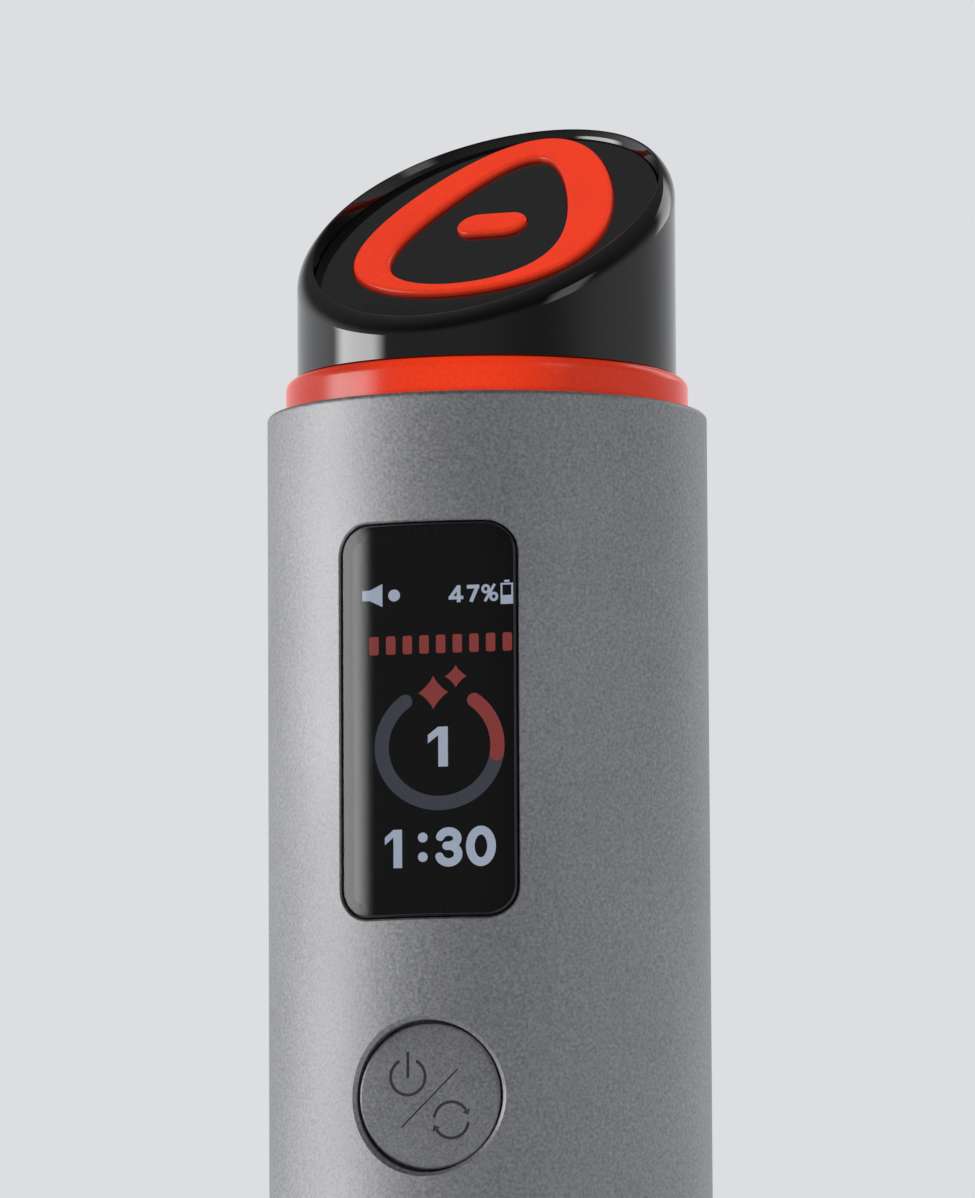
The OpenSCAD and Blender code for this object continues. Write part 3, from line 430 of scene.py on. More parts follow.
def settle(piece):
    # applies the piece's modifiers
    depsgraph = bpy.context.evaluated_depsgraph_get()
    mesh = bpy.data.meshes.new_from_object(piece.evaluated_get(depsgraph), depsgraph=depsgraph)
    piece.modifiers.clear()
    piece.data = mesh
    mesh.name = piece.name
    return piece


def cutPiece(piece, cutter, operation="DIFFERENCE"):
    modifier = piece.modifiers.new("cut", "BOOLEAN")
    modifier.operation = operation
    modifier.solver = "EXACT"
    modifier.object = cutter
    settle(piece)
    bpy.data.objects.remove(cutter)


def smoothByAngle(piece, degrees=32):
    piece.data.shade_smooth()
    piece.data.set_sharp_from_angle(angle=math.radians(degrees))


def roundNormals(piece, radius):
    # true normals where the piece follows a cylinder round the z axis
    offSurface, facing = 0.002, 0.985
    mesh = piece.data
    normals = []
    corners = [Vector(n.vector) for n in mesh.corner_normals]
    for polygon in mesh.polygons:
        for index in polygon.loop_indices:
            at = mesh.vertices[mesh.loops[index].vertex_index].co
            flat = Vector((at.x, at.y, 0))
            out = flat.normalized()
            turn = polygon.normal.dot(out)
            follows = abs(flat.length / mm - radius) < offSurface and abs(turn) > facing
            normals.append(out * (1 if turn > 0 else -1) if follows else corners[index])
    mesh.normals_split_custom_set(normals)


def dress(piece, body, finish, replaced=()):
    piece.data.materials.clear()
    piece.data.materials.append(finishes[finish])
    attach(piece, body)
    if replaced:
        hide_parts(*replaced)


def joinPieces(name, pieces):
    points, faces = [], []
    for piece in pieces:
        start = len(points)
        points += [tuple(v.co / mm) for v in piece.data.vertices]
        faces += [tuple(start + i for i in p.vertices) for p in piece.data.polygons]
        bpy.data.objects.remove(piece)
    return meshFrom(name, points, faces)


def roundedBox(width, height, corner, grow=0.0, count=16, along=1):
    # outline of a rounded rectangle, counter-clockwise, moved out by grow; along splits its straight edges
    points = []
    for sx, sz, start in ((1, 1, 0), (-1, 1, 1), (-1, -1, 2), (1, -1, 3)):
        x, z = sx * (width / 2 - corner), sz * (height / 2 - corner)
        for i in range(count + 1):
            a = math.pi / 2 * (start + i / count)
            points.append((x + (corner + grow) * math.cos(a), z + (corner + grow) * math.sin(a)))
        ahead, run = (width, (-sx, 0)) if start % 2 == 0 else (height, (0, -sz))
        steps = [(ahead - 2 * corner) * k / along for k in range(1, along)]
        x, z = points[-1]
        points += [(x + run[0] * step, z + run[1] * step) for step in steps]
    return points


def circleOutline(radius, count=128):
    return [(radius * math.cos(tau * i / count), radius * math.sin(tau * i / count)) for i in range(count)]


def radialBlock(name, outlines, height):
    # outlines as (distance from the tube's axis, points): a block that follows the tube's curve,
    # with flat ends well inside the bore and outside the tube
    inner, outer = 10.0, 20.0
    loops = [[(x, -inner, height + z) for x, z in outlines[0][1]]]
    loops += [[(x, -math.sqrt(distance ** 2 - x * x), height + z) for x, z in outline]
              for distance, outline in outlines]
    loops.append([(x, -outer, height + z) for x, z in outlines[-1][1]])
    return loftPiece(name, loops)


def windowOutline(grow, gap=0.0):
    # the glass's outline, or the window's where gap is set
    return roundedBox(window["wide"] + 2 * gap, window["tall"] + 2 * gap, window["corner"] + gap, grow, 16, 24)


# aluminium tube, its window and its hole

def makeTube():
    rim, low, radius, edge = tube["rim"], tube["bottom"], tube["radius"], tube["edge"]
    bore = radius - tube["wall"]
    profile = [(bore + edge, low), (radius - edge, low), (radius, low + edge)]
    profile += [(radius, low + (rim - low) * k / 8) for k in range(1, 8)]
    profile += roundedCorner(radius, rim, tube["rimRound"])
    profile += [(bore + edge, rim), (bore, rim - edge)]
    profile += [(bore, rim - (rim - low) * k / 8) for k in range(1, 8)]
    profile += [(bore, low + edge)]
    piece = turnedPiece("bodyTube", profile, offset=0.5)
    # each cutter widens outwards, which leaves a chamfer round the opening
    beyond = 0.4
    hole = button["radius"] + button["gap"]
    openings = [(lambda grow: windowOutline(grow, window["gap"]), window["height"], edge),
                (lambda grow: circleOutline(hole + grow), button["height"], button["holeEdge"])]
    for outline, height, chamfer in openings:
        steps = [(radius - chamfer, outline(0)), (radius + beyond, outline(chamfer + beyond))]
        cutPiece(piece, radialBlock("openingCutter", steps, height))
    smoothByAngle(piece, 28)
    roundNormals(piece, radius)
    dress(piece, "housing", "blastedAluminium", ["body_tube"])


makeTube()
print("tube cut")


# display: glass, and what it shows

def makeGlass():
    radius, back = tube["radius"], tube["radius"] - window["glass"]
    middle, half = window["height"], window["tall"] / 2 + 3
    bevel, beyond = 0.16, 0.3
    profile = [(back, middle - half), (radius, middle - half), (radius, middle + half), (back, middle + half)]
    piece = turnedPiece("displayGlass", profile, steps=384, offset=0.5)
    steps = [(radius - bevel, windowOutline(0)), (radius + beyond, windowOutline(-bevel - beyond))]
    cutPiece(piece, radialBlock("glassCutter", steps, middle), "INTERSECT")
    smoothByAngle(piece, 28)
    roundNormals(piece, radius)
    dress(piece, "housing", "smokedGlass", ["display_glass"])
    # the bevel and the sides are inked
    piece.data.materials.append(finishes["pianoBlack"])
    for polygon in piece.data.polygons:
        out = Vector((polygon.center.x, polygon.center.y, 0)).normalized()
        if abs(polygon.normal.dot(out)) < 0.95:
            polygon.material_index = 1


def ribbon(points, width, closed=False, roundEnds=True):
    # a line as flat polygons of even width
    left, right = [], []
    last = len(points) - 1
    for i, point in enumerate(points):
        before = points[i - 1] if closed or i > 0 else point
        after = points[(i + 1) % len(points)] if closed or i < last else point
        run = Vector((after[0] - before[0], after[1] - before[1])).normalized()
        side = Vector((-run.y, run.x)) * width / 2
        left.append(Vector(point) + side)
        right.append(Vector(point) - side)
    pairs = [(i, (i + 1) % len(points)) for i in range(last + 1 if closed else last)]
    flat = [[right[i], right[k], left[k], left[i]] for i, k in pairs]
    if roundEnds and not closed:
        for at, side in ((0, 1), (last, -1)):
            start = left[at] - Vector(points[at])
            flat.append([Vector(points[at]) + side * Matrix.Rotation(math.pi * k / 10, 2) @ start for k in range(11)])
    return flat


def plateFrom(name, polygons, front, back, height):
    # polygons of one flat figure, joined at shared points, given a thickness along y
    work = bmesh.new()
    for polygon in polygons:
        work.faces.new([work.verts.new((p[0] * mm, front * mm, (p[1] + height) * mm)) for p in polygon])
    bmesh.ops.remove_doubles(work, verts=work.verts, dist=2e-6)
    result = bmesh.ops.extrude_face_region(work, geom=list(work.faces))
    moved = [g for g in result["geom"] if isinstance(g, bmesh.types.BMVert)]
    bmesh.ops.translate(work, verts=moved, vec=(0, (back - front) * mm, 0))
    bmesh.ops.recalc_face_normals(work, faces=work.faces)
    mesh = bpy.data.meshes.new(name)
    work.to_mesh(mesh)
    work.free()
    return toObject(name, mesh)


def boxPolygon(x0, x1, z0, z1):
    return [(x0, z0), (x1, z0), (x1, z1), (x0, z1)]


def starPolygons(middle, tall, wide):
    # four points with slightly hollow sides
    points = []
    for c, s in circleOutline(1.0, 48):
        points.append((middle[0] + wide / 2 * math.copysign(abs(s) ** 2.5, s),
                       middle[1] + tall / 2 * math.copysign(abs(c) ** 2.5, c)))
    return [[middle, points[i], points[(i + 1) % len(points)]] for i in range(len(points))]


def bow(middle, radii, start, end, count=20):
    # part of an ellipse, angles in degrees, clockwise from the top
    angles = [math.radians(start + (end - start) * k / count) for k in range(count + 1)]
    return [(middle[0] + radii[0] * math.sin(a), middle[1] + radii[1] * math.cos(a)) for a in angles]


def signPolygons(sign, box, weight):
    # plain figures drawn as strokes inside a box of left, right, low, high
    x0, x1, z0, z1 = box
    half = weight / 2
    wide, tall = x1 - x0, z1 - z0
    xm, zm = (x0 + x1) / 2, (z0 + z1) / 2
    if sign == "0":
        return [ribbon(bow((xm, zm), (wide / 2 - half, tall / 2 - half), 0, 360, 48)[:-1], weight, closed=True)]
    if sign == "1":
        stem, flag, drop = x1 - weight, z1 - tall * 0.2, weight * 0.85
        return [[boxPolygon(stem, x1, z0, z1)],
                [[(stem, z1), (x0, flag), (x0, flag - drop), (stem, z1 - drop)]]]
    if sign == "3":
        upper, lower = (tall - weight) * 0.23, (tall - weight) * 0.27
        waist = z1 - half - 2 * upper
        return [ribbon(bow((xm, z1 - half - upper), (wide / 2 - half - 0.06, upper), -74, 180), weight),
                ribbon(bow((xm, z0 + half + lower), (wide / 2 - half, lower), 0, 254), weight),
                ribbon([(xm - wide * 0.08, waist), (xm, waist)], weight)]
    if sign == "4":
        stem, bar = x0 + wide * 0.68, z0 + tall * 0.27
        return [ribbon([(stem, z0), (stem, z1)], weight, roundEnds=False),
                ribbon([(x0, bar), (x1, bar)], weight * 0.9, roundEnds=False),
                ribbon([(stem - weight * 0.1, z1 - half * 0.7), (x0 + half * 0.8, bar)], weight * 0.9,
                       roundEnds=False)]
    if sign == "7":
        return [ribbon([(x0, z1 - half), (x1, z1 - half)], weight, roundEnds=False),
                ribbon([(x1 - half, z1 - half), (x0 + wide * 0.32, z0)], weight, roundEnds=False)]
    if sign == "%":
        ring, thin = (wide * 0.19, tall * 0.2), weight * 0.7
        middles = [(x0 + ring[0] + half * 0.6, z1 - ring[1] - half * 0.6),
                   (x1 - ring[0] - half * 0.6, z0 + ring[1] + half * 0.6)]
        return [ribbon(bow(middle, ring, 0, 360, 24)[:-1], thin, closed=True) for middle in middles] + [
            ribbon([(x0 + wide * 0.2, z0), (x1 - wide * 0.2, z1)], thin, roundEnds=False)]
    dot = weight * 0.55
    return [[[(xm + x, middle + z) for x, z in circleOutline(dot, 20)]] for middle in (z0 + dot, z1 - dot)]


def makeDisplay():
    # places on the panel in millimetres from the window's middle; boxes as left, right, low, high
    shows = {
        "speaker": {"box": (-5.3, -3.8, 8.6, 10.3), "neck": 0.36, "neckHalf": 0.38, "dot": (-2.92, 9.42),
                    "dotRadius": 0.44},
        "cell": {"box": (5.12, 6.06, 8.5, 10.05), "level": 0.42, "line": 0.13, "cap": (0.28, 0.06, 0.22)},
        "bars": {"count": 9, "from": -4.8, "to": 5.95, "low": 5.05, "high": 6.4, "width": 0.7, "corner": 0.14},
        "gauge": {"middle": (0.46, -1.83), "radii": (4.36, 4.17), "line": 1.05, "gapFrom": -36, "gapTo": 37,
                  "redTo": 99, "overlap": 6},
        "stars": [{"middle": (0.0, 2.15), "tall": 2.5, "wide": 2.3},
                  {"middle": (1.7, 3.3), "tall": 1.66, "wide": 1.7}],
        "signs": [
            ("4", (1.2, 2.3, 8.75, 10.0), 0.27), ("7", (2.58, 3.5, 8.75, 10.0), 0.27),
            ("%", (3.68, 4.92, 8.75, 10.0), 0.28), ("1", (-0.42, 1.08, -3.32, -0.38), 0.72),
            ("1", (-3.68, -2.4, -10.7, -7.88), 0.64), (":", (-1.22, -0.46, -10.3, -8.14), 0.66),
            ("3", (0.08, 2.14, -10.7, -7.8), 0.62), ("0", (2.42, 4.66, -10.72, -7.76), 0.64),
        ],
    }
    front, back = window["panelFront"] - 0.03, window["panelFront"] + 0.02
    pale, red, track = [], [], []

    def add(group, polygons, proud=0.0):
        group.append(plateFrom("shownPiece", polygons, front - proud, back, window["height"]))

    speaker = shows["speaker"]
    x0, x1, z0, z1 = speaker["box"]
    low, high = (z0 + z1) / 2 - speaker["neckHalf"], (z0 + z1) / 2 + speaker["neckHalf"]
    neckEnd = x0 + (x1 - x0) * speaker["neck"]
    add(pale, [boxPolygon(x0, neckEnd, low, high)])
    add(pale, [[(neckEnd, low), (x1, z0), (x1, z1), (neckEnd, high)]])
    dot = speaker["dot"]
    add(pale, [[(dot[0] + x, dot[1] + z) for x, z in circleOutline(speaker["dotRadius"], 28)]])
    for sign, box, weight in shows["signs"]:
        for polygons in signPolygons(sign, box, weight):
            add(pale, polygons)

    cell = shows["cell"]
    x0, x1, z0, z1 = cell["box"]
    line, fill = cell["line"], z0 + (z1 - z0) * cell["level"]
    capIn, capLow, capHigh = cell["cap"]
    for box in ((x0, x0 + line, z0, z1), (x1 - line, x1, z0, z1), (x0 + line, x1 - line, z1 - line, z1),
                (x0 + line, x1 - line, z0, fill), (x0 + capIn, x1 - capIn, z1 + capLow, z1 + capHigh)):
        add(pale, [boxPolygon(*box)])

    bars = shows["bars"]
    pitch = (bars["to"] - bars["from"] - bars["width"]) / (bars["count"] - 1)
    middle = (bars["low"] + bars["high"]) / 2
    for k in range(bars["count"]):
        start = bars["from"] + bars["width"] / 2 + k * pitch
        outline = roundedBox(bars["width"], bars["high"] - bars["low"], bars["corner"], 0, 4)
        add(red, [[(start + x, middle + z) for x, z in outline]])
    for star in shows["stars"]:
        add(red, starPolygons(star["middle"], star["tall"], star["wide"]))
    gauge = shows["gauge"]
    filled = bow(gauge["middle"], gauge["radii"], gauge["gapTo"], gauge["redTo"], 40)
    rest = bow(gauge["middle"], gauge["radii"], gauge["redTo"] - gauge["overlap"], 360 + gauge["gapFrom"], 96)
    add(red, ribbon(filled, gauge["line"]), 0.01)
    add(track, ribbon(rest, gauge["line"]))
    for name, group, finish in (("displayFigures", pale, "paleBlueLight"), ("displayRed", red, "dimRedLight"),
                                ("displayTrack", track, "trackLight")):
        dress(joinPieces(name, group), "housing", finish)


makeGlass()
makeDisplay()
print("display lit")


# push button with its engraved marks

def towardsFront(name, profile, steps=160):
    # turns a profile of (radius, height over the button's back) round an axis that points at the viewer
    loops = [[(x, button["back"] - height, button["height"] + z) for x, z in circleOutline(radius, steps)]
             for radius, height in profile]
    return loftPiece(name, loops)


def makeButton():
    cap = {"round": 0.25, "flange": 0.9, "flangeThick": 1.2, "flangeEdge": 0.1}
    marks = {
        "deep": 0.07, "line": 0.22, "thin": 0.11,
        "power": {"middle": (-1.64, 1.44), "radius": 1.32, "gap": 33, "bar": (1.45, 3.18)},
        "slash": [(-2.12, -2.2), (2.12, 1.9)],
        "cycle": {"middle": (1.66, -1.76), "radius": 1.32, "from": -78, "to": 62, "head": 0.33},
    }
    radius, flange = button["radius"], button["radius"] + cap["flange"]
    edge, step = cap["flangeEdge"], cap["flangeThick"]
    profile = [(flange - edge, 0), (flange, edge), (flange, step - edge), (flange - edge, step), (radius, step)]
    profile += roundedCorner(radius, button["back"] - button["front"], cap["round"], 6)
    piece = towardsFront("buttonCap", profile)

    cutters = []

    def engrave(polygons):
        cutters.append(plateFrom("mark", polygons, button["front"] - 0.1, button["front"] + marks["deep"],
                                 button["height"]))
    power, line = marks["power"], marks["line"]
    engrave(ribbon(bow(power["middle"], (power["radius"],) * 2, power["gap"], 360 - power["gap"], 64), line))
    engrave(ribbon([(power["middle"][0], power["bar"][0]), (power["middle"][0], power["bar"][1])], line))
    engrave(ribbon(marks["slash"], marks["thin"]))
    cycle = marks["cycle"]
    size = cycle["head"]
    for turn in (0, 180):
        start, end = turn + cycle["from"], turn + cycle["to"]
        engrave(ribbon(bow(cycle["middle"], (cycle["radius"],) * 2, start, end, 32), line))
        # the arrow's head at the end of the line
        s, c = math.sin(math.radians(end)), math.cos(math.radians(end))
        tip = Vector(cycle["middle"]) + cycle["radius"] * Vector((s, c))
        ahead, across = Vector((c, -s)), Vector((s, c))
        foot = tip - ahead * 0.25 * size
        engrave([[tip + ahead * size, foot + across * size, foot - across * size]])
    for cutter in cutters:
        cutPiece(piece, cutter)
    smoothByAngle(piece, 25)
    dress(piece, "button", "buttonAluminium", ["button_cap"])
    # the floors and walls of the marks are darker
    piece.data.materials.append(finishes["engravedMark"])
    reach = (radius - 0.3) * mm
    for polygon in piece.data.polygons:
        at = polygon.center
        inMark = (button["front"] + 0.01) * mm < at.y < (button["front"] + 0.2) * mm
        if inMark and math.hypot(at.x, at.z - button["height"] * mm) < reach:
            polygon.material_index = 1


makeButton()
print("button engraved")


# head: shell, face and its lit figures

def turned(x, y, z):
    # the head is turned a little against the display
    c, s = math.cos(face["turn"]), math.sin(face["turn"])
    return (x * c + y * s, y * c - x * s, z)


def onFace(x, q, depth=0.0):
    # a point of the slanted face: x across, q uphill, depth below the lip
    tilt = face["tilt"]
    return turned(x, q * math.cos(tilt) + depth * math.sin(tilt),
                  face["height"] + q * math.sin(tilt) - depth * math.cos(tilt))


# half width, how pointed and how square, half length, middle and flatness, as in the part's source
outlines = {
    "outer": {"half": 9.6116, "point": 0.139, "square": 0.018, "long": 12.483, "middle": 1.59, "flat": 0.3},
    "inner": {"half": 6.2616, "point": 0.198, "square": 0.02, "long": 10.233, "middle": 0.67, "flat": 0.3},
}


def dropPoint(outline, t, grow=0.0):
    # a point of the teardrop, counter-clockwise from its tip, moved out by grow
    o = outlines[outline]
    x = -o["half"] * (math.sin(t) - o["point"] * math.sin(2 * t) + o["square"] * math.sin(3 * t))
    q = o["middle"] + o["long"] * math.cos(t) + o["flat"] * math.cos(2 * t)
    dx = -o["half"] * (math.cos(t) - 2 * o["point"] * math.cos(2 * t) + 3 * o["square"] * math.cos(3 * t))
    dq = -o["long"] * math.sin(t) - 2 * o["flat"] * math.sin(2 * t)
    size = math.hypot(dx, dq)
    return x + grow * dq / size, q - grow * dx / size


def dropLoop(outline, grow, depth, count=288, reach=face["bandReach"]):
    # the teardrop's outline on the face, kept within reach of the head's axis
    loop = []
    for i in range(count):
        x, y, z = onFace(*dropPoint(outline, tau * i / count, grow), depth)
        pull = min(reach / math.hypot(x, y), 1)
        loop.append((x * pull, y * pull, z))
    return loop


def boreLoop(radius, depth, count=288):
    # where an upright cylinder meets the face's plane, turned to match the teardrop's points
    tilt = face["tilt"]
    loop = []
    for i in range(count):
        a = math.pi / 2 + tau * i / count
        y = radius * math.sin(a)
        loop.append(onFace(radius * math.cos(a), (y - depth * math.sin(tilt)) / math.cos(tilt), depth))
    return loop


def makeHeadShell():
    shell = {"radius": 14.25, "lip": 1.8, "bore": 13.05, "ledge": 12.3, "ledgeThick": 1.4, "ledgeGap": 0.04,
             "ledgeFade": (0.5, 0.25), "spigot": 12.2, "spigotBore": 10.8, "spigotFoot": tube["rim"] - 2.4,
             "web": 1.5, "edge": 0.22, "bottom": 0.15}
    boss = {"turns": (90, 210, 330), "ring": 8.9, "radius": 2.2, "hole": 1.0, "deep": 4, "overlap": 0.4}
    tilt, sink, bottom, radius, bore = face["tilt"], face["sink"], neck["top"], shell["radius"], shell["bore"]
    ball = radius - shell["lip"]
    ballHeight = face["height"] - shell["lip"] / math.cos(tilt)
    wallLow = bottom + shell["bottom"]
    inner = bore + shell["edge"]
    lipTurn = math.acos((inner - ball) / shell["lip"])
    ledgeBore = bore - shell["ledgeGap"]

    def topAt(x, y):
        # the lip's height: the flat plane inside, a rolling ball's envelope outside
        plane = face["height"] + y * math.tan(tilt)
        if x * x + (y + shell["lip"] * math.sin(tilt)) ** 2 <= ball * ball:
            return plane
        # the ball's place on its path is searched in four finer and finer sweeps
        best, found = -math.inf, math.atan2(y, x)
        half, sweep = 0.14, 40
        for _ in range(4):
            low, step = found - half, 2 * half / sweep
            for k in range(sweep + 1):
                a = low + k * step
                dx, dy = x - ball * math.cos(a), y - ball * math.sin(a)
                left = shell["lip"] ** 2 - dx * dx - dy * dy
                if left < 0:
                    continue
                z = ballHeight + ball * math.sin(a) * math.tan(tilt) + math.sqrt(left)
                if z > best:
                    best, found = z, a
            half = step
        return min(best, plane)

    def wall(a):
        # the wall at angle a as (radius, height): up the outside, over the lip and down the inside
        c, s = math.cos(a), math.sin(a)
        wallTop = ballHeight + ball * s * math.tan(tilt)
        ring = [(radius - shell["bottom"], bottom)]
        ring += [(radius, wallLow + (wallTop - wallLow) * k / 5) for k in range(6)]
        for k in range(1, 15):
            out = ball + shell["lip"] * math.cos(lipTurn * k / 14)
            ring.append((out, topAt(out * c, out * s)))
        crest = ring[-1][1]
        slope = (ring[-2][1] - crest) / (ring[-2][0] - inner)
        for b in quarter(4)[1:]:
            inwards = shell["edge"] * math.sin(b)
            ring.append((inner - inwards, crest - slope * inwards - shell["edge"] * (1 - math.cos(b))))
        # the ledge under the panel fades away at the uphill end, to leave room for the teardrop's flange
        panelTop = face["height"] + (bore * s - sink * math.sin(tilt)) * math.tan(tilt) - sink * math.cos(tilt)
        panelLow = panelTop - face["panel"] / math.cos(tilt)
        ledgeLow = panelLow - shell["ledgeThick"] / math.cos(tilt)
        fromUphill = abs((a - math.pi / 2 + math.pi) % tau - math.pi)
        share = min(max((fromUphill - shell["ledgeFade"][0]) / shell["ledgeFade"][1], 0), 1)
        ledge = ledgeBore - (ledgeBore - shell["ledge"]) * share
        ring += [(bore, panelTop), (bore, panelLow), (ledge, panelLow), (ledge, ledgeLow), (bore, ledgeLow - 0.3)]
        ring += [(bore, bottom + shell["web"]), (shell["spigotBore"], bottom + shell["web"]),
                 (shell["spigotBore"], shell["spigotFoot"]), (shell["spigot"], shell["spigotFoot"]),
                 (shell["spigot"], bottom)]
        return [turned(r * c, r * s, z) for r, z in ring]
    walls = [wall(tau * i / 240) for i in range(240)]
    pieces = [loftPiece("headShell", [list(loop) for loop in zip(*walls)], closed=True)]
    foot, top = shell["spigotFoot"], bottom + boss["overlap"]
    deep = foot + boss["deep"]
    rings = [(boss["hole"], deep), (boss["hole"], foot), (boss["radius"], foot), (boss["radius"], top),
             (0.01, top), (0.01, deep)]
    for turn in boss["turns"]:
        x, y = boss["ring"] * math.cos(math.radians(turn)), boss["ring"] * math.sin(math.radians(turn))
        pieces.append(loftPiece("screwBoss", [[(x + px, y + py, z) for px, py in circleOutline(r, 32)]
                                              for r, z in rings], closed=True))
    piece = joinPieces("headShell", pieces)
    smoothByAngle(piece, 38)
    roundNormals(piece, radius)
    dress(piece, "housing", "pianoBlack", ["head_shell"])


# long and wide across the face, middle uphill of the head's axis
pill = {"long": 5.5, "wide": 3.1, "middle": 0.5, "flange": 0.4}


def pillOutline(grow, depth, count=96):
    # counter-clockwise on the face, from the uphill side
    half = (pill["long"] - pill["wide"]) / 2
    reach = pill["wide"] / 2 + grow
    points = []
    for i in range(count):
        t = tau * i / count
        side = -math.sin(t)
        shift = half * max(-1, min(1, side * 6))
        points.append(onFace(shift + reach * side, pill["middle"] + reach * math.cos(t), depth))
    return points


def makeFacePanels():
    top, bottom, gap = face["sink"], face["sink"] + face["panel"], face["gap"]
    edge, panelRadius, holeReach = 0.07, 13.0, 12.99

    def section(outline, sign):
        # one side of a panel, up over its chamfered edge; sign tells on which side its solid lies
        rings = [(sign * gap, bottom), (sign * gap, top + edge), (sign * (gap + edge), top)]
        return [outline(grow, depth) for grow, depth in rings]
    panel = [boreLoop(panelRadius, bottom), boreLoop(panelRadius, top + edge), boreLoop(panelRadius - edge, top)]
    panel += section(lambda grow, depth: dropLoop("outer", grow, depth, reach=holeReach), 1)[::-1]
    island = section(lambda grow, depth: dropLoop("inner", grow, depth), -1)
    island += section(lambda grow, depth: pillOutline(grow, depth, 288), 1)[::-1]
    for name, loops, node in (("facePanel", panel, "face_panel"), ("faceIsland", island, "face_island")):
        piece = loftPiece(name, loops, closed=True)
        smoothByAngle(piece, 30)
        dress(piece, "housing", "pianoBlack", [node])


def makePill():
    bottom, top, corner = face["sink"] + face["panel"], face["sink"] - face["proud"], face["round"]
    loops = [pillOutline(pill["flange"], bottom + face["flange"]), pillOutline(pill["flange"], bottom),
             pillOutline(0, bottom)]
    loops += [pillOutline(corner * (math.cos(b) - 1), top + corner * (1 - math.sin(b))) for b in quarter(7)]
    piece = loftPiece("pillLight", loops)
    smoothByAngle(piece, 30)
    dress(piece, "housing", "litFace", ["pill_light"])


makeHeadShell()
makeFacePanels()
makePill()
print("head turned")


# lit teardrop, a rule drawn by geometry nodes

def newTree(name, inputs):
    # inputs as (label, kind, value); given holds them as wires inside the tree
    tree = bpy.data.node_groups.new(name, "GeometryNodeTree")
    sockets = {}
    for label, kind, value in inputs:
        socket = tree.interface.new_socket(name=label, in_out="INPUT", socket_type="NodeSocket" + kind)
        if value is not None:
            socket.default_value = value
        sockets[label] = socket.identifier
    tree.interface.new_socket(name="Geometry", in_out="OUTPUT", socket_type="NodeSocketGeometry")
    start = tree.nodes.new("NodeGroupInput")
    return tree, {label: Wire(tree, start.outputs[label]) for label in sockets}, sockets


def endTree(tree, given, geometry):
    real = addNode(tree, "GeometryNodeRealizeInstances", {0: geometry})
    paint = addNode(tree, "GeometryNodeSetMaterial", {"Geometry": real.outputs[0], "Material": given["Finish"]})
    addNode(tree, "NodeGroupOutput", {0: paint.outputs[0]})


def lifted(tree, geometry, height):
    move = addNode(tree, "GeometryNodeTransform", {"Geometry": geometry,
                                                   "Translation": joinVector(tree, 0, 0, height)})
    return move.outputs[0]


def runTree(name, tree, sockets, values, start=None):
    # runs the tree on an empty mesh, or on start, and keeps the plain mesh
    piece = toObject(name, start or bpy.data.meshes.new(name))
    modifier = piece.modifiers.new("nodes", "NODES")
    modifier.node_group = tree
    for label, value in values.items():
        modifier[sockets[label]] = value
    return settle(piece)


def dropBandTree():
    tree, given, sockets = newTree("dropBand", [
        ("Bottom Depth", "Float", 2.75), ("Top Depth", "Float", 0.9), ("Edge Round", "Float", 0.35),
        ("Bore Radius", "Float", 12.95), ("Around", "Int", 361), ("Across", "Int", 61), ("Finish", "Material", None)])
    grid = addNode(tree, "GeometryNodeMeshGrid", {"Size X": 1.0, "Size Y": 1.0, "Vertices X": given["Around"],
                                                  "Vertices Y": given["Across"]})
    u, v = splitVector(tree, tree.nodes.new("GeometryNodeInputPosition").outputs[0])[:2]
    t, w = (u + 0.5) * tau, (v + 0.5) * 6.0
    # six stretches of the section: up the outside, round, across, round, down the inside, back
    up, over, across, under, down, back = [(w - float(k)).clamped() for k in range(6)]
    bend, fall = over * (math.pi / 2), under * (math.pi / 2)
    edge = given["Edge Round"]
    thick = given["Bottom Depth"] - given["Top Depth"]
    tall = (thick - edge) * (up - down) + edge * bend.sin() - edge * fall.cos().fromOne()
    outerIn, innerIn = edge * bend.cos().fromOne(), edge * fall.sin().fromOne()
    share = across - back

    def outline(o, grow):
        sines = [(t * float(k)).sin() for k in (1, 2, 3)]
        cosines = [(t * float(k)).cos() for k in (1, 2, 3)]
        x = (sines[0] - sines[1] * o["point"] + sines[2] * o["square"]) * -o["half"]
        q = cosines[0] * o["long"] + cosines[1] * o["flat"] + o["middle"]
        dx = (cosines[0] - cosines[1] * (2 * o["point"]) + cosines[2] * (3 * o["square"])) * -o["half"]
        dq = sines[0] * -o["long"] - sines[1] * (2 * o["flat"])
        size = (dx * dx + dq * dq).root()
        return x + grow * dq / size, q - grow * dx / size
    # the rounding is undone on the way back along the bottom
    still = back.fromOne()
    x0, q0 = outline(outlines["outer"], outerIn * -1.0 * still)
    x1, q1 = outline(outlines["inner"], innerIn * still * share)
    x = x0 + (x1 - x0) * share
    q = q0 + (q1 - q0) * share
    depth = given["Bottom Depth"] - tall
    tilt, turn = face["tilt"], face["turn"]
    y = q * math.cos(tilt) + depth * math.sin(tilt)
    z = q * math.sin(tilt) - depth * math.cos(tilt) + face["height"]
    x, y = x * math.cos(turn) + y * math.sin(turn), y * math.cos(turn) - x * math.sin(turn)
    pull = (given["Bore Radius"] / (x * x + y * y).root()).math("MINIMUM", 1.0)
    place = joinVector(tree, x * pull * mm, y * pull * mm, z * mm)
    move = addNode(tree, "GeometryNodeSetPosition", {"Geometry": grid.outputs["Mesh"], "Position": place})
    merge = addNode(tree, "GeometryNodeMergeByDistance", {"Geometry": move.outputs[0], "Distance": 1e-6})
    endTree(tree, given, merge.outputs[0])
    return tree, sockets


